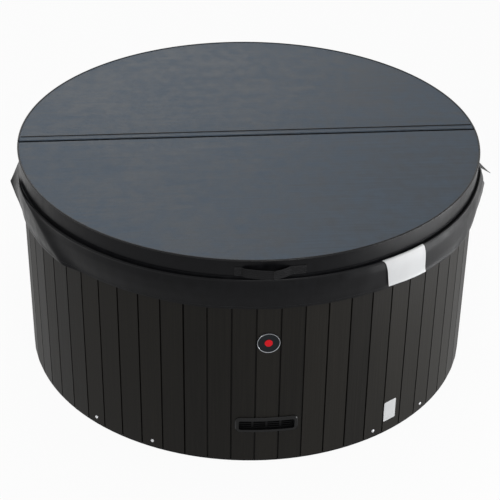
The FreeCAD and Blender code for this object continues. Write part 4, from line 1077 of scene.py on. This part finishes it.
class HOTTUB_OT_stitching(Operator):
    """Sew the hems, the hinge strip, the handles' tabs and the tag"""

    bl_idname = "hottub.stitching"
    bl_label = "Stitching"

    def execute(self, context):
        steps = 400
        spread = [SKIRT_END * (2 * step / steps - 1) * HEM_SHARE for step in range(steps + 1)]
        for half in ("front", "rear"):
            hem = [skirt_point(turn, HEM_ROW, HEM_LIFT, half) for turn in spread]
            sew(f"{half}_hem_stitches", [hem], f"cover_{half}")

        reach = STRIP_END - HINGE_MARGIN
        level = top_height(HINGE_ROW) + HINGE_LIFT
        seam = [Vector((reach * (step / 100 - 1), HINGE_ROW, level)) for step in range(201)]
        sew("hinge_stitches", [seam], "cover_rear")

        tabs = sew("front_handle_stitches", tab_rows(), "cover_front")
        rear_tabs = turned_copy(tabs, "rear_handle_stitches")
        place(rear_tabs, "sewing thread", "cover_rear", "webbing")

        tag_seam = [tag_point(step / 20 - 1, TAG_ROW, ROW_LIFT) for step in range(1, 40)]
        sew("tag_stitches", [tag_seam], "cover_front")
        return {"FINISHED"}


# The studio

# Softboxes: name, size, place, aim and colour, in the order of their powers
SOFTBOXES = [
    ("overhead", (4.5, 3.5), (-1.3, 2.1, 4.3), (0, 0, 0.9), (0.93, 0.97, 1.0)),
    ("front", (2.4, 1.7), (0.9, -5.4, 2.7), (0, 0, 0.6), (1.0, 1.0, 1.0)),
    ("left", (1.6, 1.2), (-3.6, -0.9, 2.8), (0, 0, 0.7), (1.0, 0.98, 0.95)),
    ("right", (2.0, 0.45), (2.2, -0.95, 0.28), (0, -0.1, 0.55), (0.98, 0.99, 1.0)),
    ("back", (3.0, 1.6), (-0.4, 5.5, 2.9), (0, 0, 0.9), (0.95, 0.98, 1.0)),
]

# The floor's size, its grey where it lights, and its grey and share of glow where it is seen
FLOOR_SIZE = 80
FLOOR_GREY = (0.45, 0.45, 0.45, 1)
FLOOR_PALE = (0.9, 0.9, 0.9, 1)
FLOOR_GLOW = 0.94
WHITE = (1, 1, 1, 1)

# What the camera aims at, its sensor and its shift
AIM = Vector((0, 0, 0.372))
SENSOR = 36.0
SHIFT = (0.0056, 0.0077)


def seen_ray(tree):
    """1 for rays that the camera, a reflection or a glass sends, else 0."""
    path = tree.add("ShaderNodeLightPath").outputs
    seen = tree.math("MAXIMUM", path["Is Camera Ray"], path["Is Glossy Ray"])
    return tree.math("MAXIMUM", seen, path["Is Transmission Ray"])


class HOTTUB_OT_studio(Operator):
    """Lay the pale floor, light it and set the camera"""

    bl_idname = "hottub.studio"
    bl_label = "Studio"

    def execute(self, context):
        studio = context.scene.hot_tub_studio
        context.scene.view_settings.view_transform = "Standard"
        self.floor()
        self.surround(context, studio.ambient)
        for power, box in zip(studio.powers, SOFTBOXES):
            self.softbox(power, *box)
        self.camera(context, studio)
        return {"FINISHED"}

    def softbox(self, power, name, size, location, target, colour):
        """Area lamp that faces a point."""
        bpy.ops.object.light_add(type="AREA", location=location)
        lamp = bpy.context.object
        lamp.name = f"{name} softbox"
        lamp.data.energy = power
        lamp.data.shape = "RECTANGLE"
        lamp.data.size, lamp.data.size_y = size
        lamp.data.color = colour
        lamp.rotation_euler = (Vector(target) - Vector(location)).to_track_quat("-Z", "Y").to_euler()

    def floor(self):
        """Pale floor that shows near white and keeps a soft shadow."""
        deselect()
        bpy.ops.mesh.primitive_plane_add(size=FLOOR_SIZE)
        ground = added("studio_floor")
        material = bpy.data.materials.new("pale floor")
        material.use_nodes = True
        tree = Tree(material.node_tree)
        tree.nodes.remove(tree.nodes["Principled BSDF"])
        plain = tree.add("ShaderNodeBsdfDiffuse", {"Color": FLOOR_GREY})
        pale = tree.add("ShaderNodeBsdfDiffuse", {"Color": FLOOR_PALE})
        glow = tree.add("ShaderNodeEmission", {"Color": WHITE, "Strength": 1.0})
        white = tree.either(FLOOR_GLOW, pale, glow)
        mix = tree.either(seen_ray(tree), plain, white)
        tree.links.new(mix.outputs[0], tree.nodes["Material Output"].inputs["Surface"])
        ground.data.materials.append(material)

    def surround(self, context, strength):
        """White all round where it is seen, softer where it lights."""
        world = context.scene.world or bpy.data.worlds.new("studio")
        context.scene.world = world
        world.use_nodes = True
        tree = Tree(world.node_tree)
        tree.nodes.clear()
        soft = tree.add("ShaderNodeBackground", {"Color": WHITE, "Strength": strength})
        white = tree.add("ShaderNodeBackground", {"Color": WHITE, "Strength": 1.0})
        mix = tree.either(seen_ray(tree), soft, white)
        tree.add("ShaderNodeOutputWorld", {"Surface": mix.outputs[0]})

    def camera(self, context, studio):
        """Camera at the photograph's viewing angle."""
        a, e = studio.azimuth, studio.elevation
        back = Vector((math.sin(a) * math.cos(e), -math.cos(a) * math.cos(e), math.sin(e)))
        bpy.ops.object.camera_add(location=AIM + back * studio.distance)
        camera = context.object
        turn = (-back).to_track_quat("-Z", "Y").to_matrix().to_4x4() @ Matrix.Rotation(studio.roll, 4, "Z")
        camera.rotation_euler = turn.to_euler()
        camera.data.lens = studio.lens
        camera.data.sensor_width = SENSOR
        camera.data.shift_x, camera.data.shift_y = SHIFT
        camera.data.dof.use_dof = False
        context.scene.camera = camera


OPERATORS = (
    HOTTUB_OT_cladding, HOTTUB_OT_interior, HOTTUB_OT_works, HOTTUB_OT_cover_tops, HOTTUB_OT_cover_cases,
    HOTTUB_OT_welts, HOTTUB_OT_skirts, HOTTUB_OT_fold_hinge, HOTTUB_OT_handles, HOTTUB_OT_tags,
    HOTTUB_OT_stitching, HOTTUB_OT_studio,
)


class HOTTUB_PT_dresser(Panel):
    """Buttons that dress the hot tub, in their order"""

    bl_label = "Hot Tub Dresser"
    bl_space_type = "VIEW_3D"
    bl_region_type = "UI"
    bl_category = "Hot Tub"

    def draw(self, context):
        scene = context.scene
        for settings in (scene.hot_tub_sizes, scene.hot_tub_colours, scene.hot_tub_studio):
            box = self.layout.box()
            for name in settings.__annotations__:
                box.prop(settings, name)
        for operator in OPERATORS:
            self.layout.operator(operator.bl_idname)


CLASSES = (CoverSizes, FinishColours, StudioSettings, *OPERATORS, HOTTUB_PT_dresser)


def register():
    """Make the classes and the scene's settings known."""
    for cls in CLASSES:
        bpy.utils.register_class(cls)
    bpy.types.Scene.hot_tub_sizes = PointerProperty(type=CoverSizes)
    bpy.types.Scene.hot_tub_colours = PointerProperty(type=FinishColours)
    bpy.types.Scene.hot_tub_studio = PointerProperty(type=StudioSettings)


def unregister():
    """Take the settings and the classes away again."""
    del bpy.types.Scene.hot_tub_studio
    del bpy.types.Scene.hot_tub_colours
    del bpy.types.Scene.hot_tub_sizes
    for cls in reversed(CLASSES):
        bpy.utils.unregister_class(cls)


def main():
    """Dress the tub from the cladding to the studio."""
    register()
    for make in (make_vinyl_grain, make_plank_grain, make_moulded_grain, make_brushed_lines, make_weave):
        make()
    for operator in OPERATORS:
        group, name = operator.bl_idname.split(".")
        getattr(getattr(bpy.ops, group), name)()


if __name__ == "__main__":
    main()
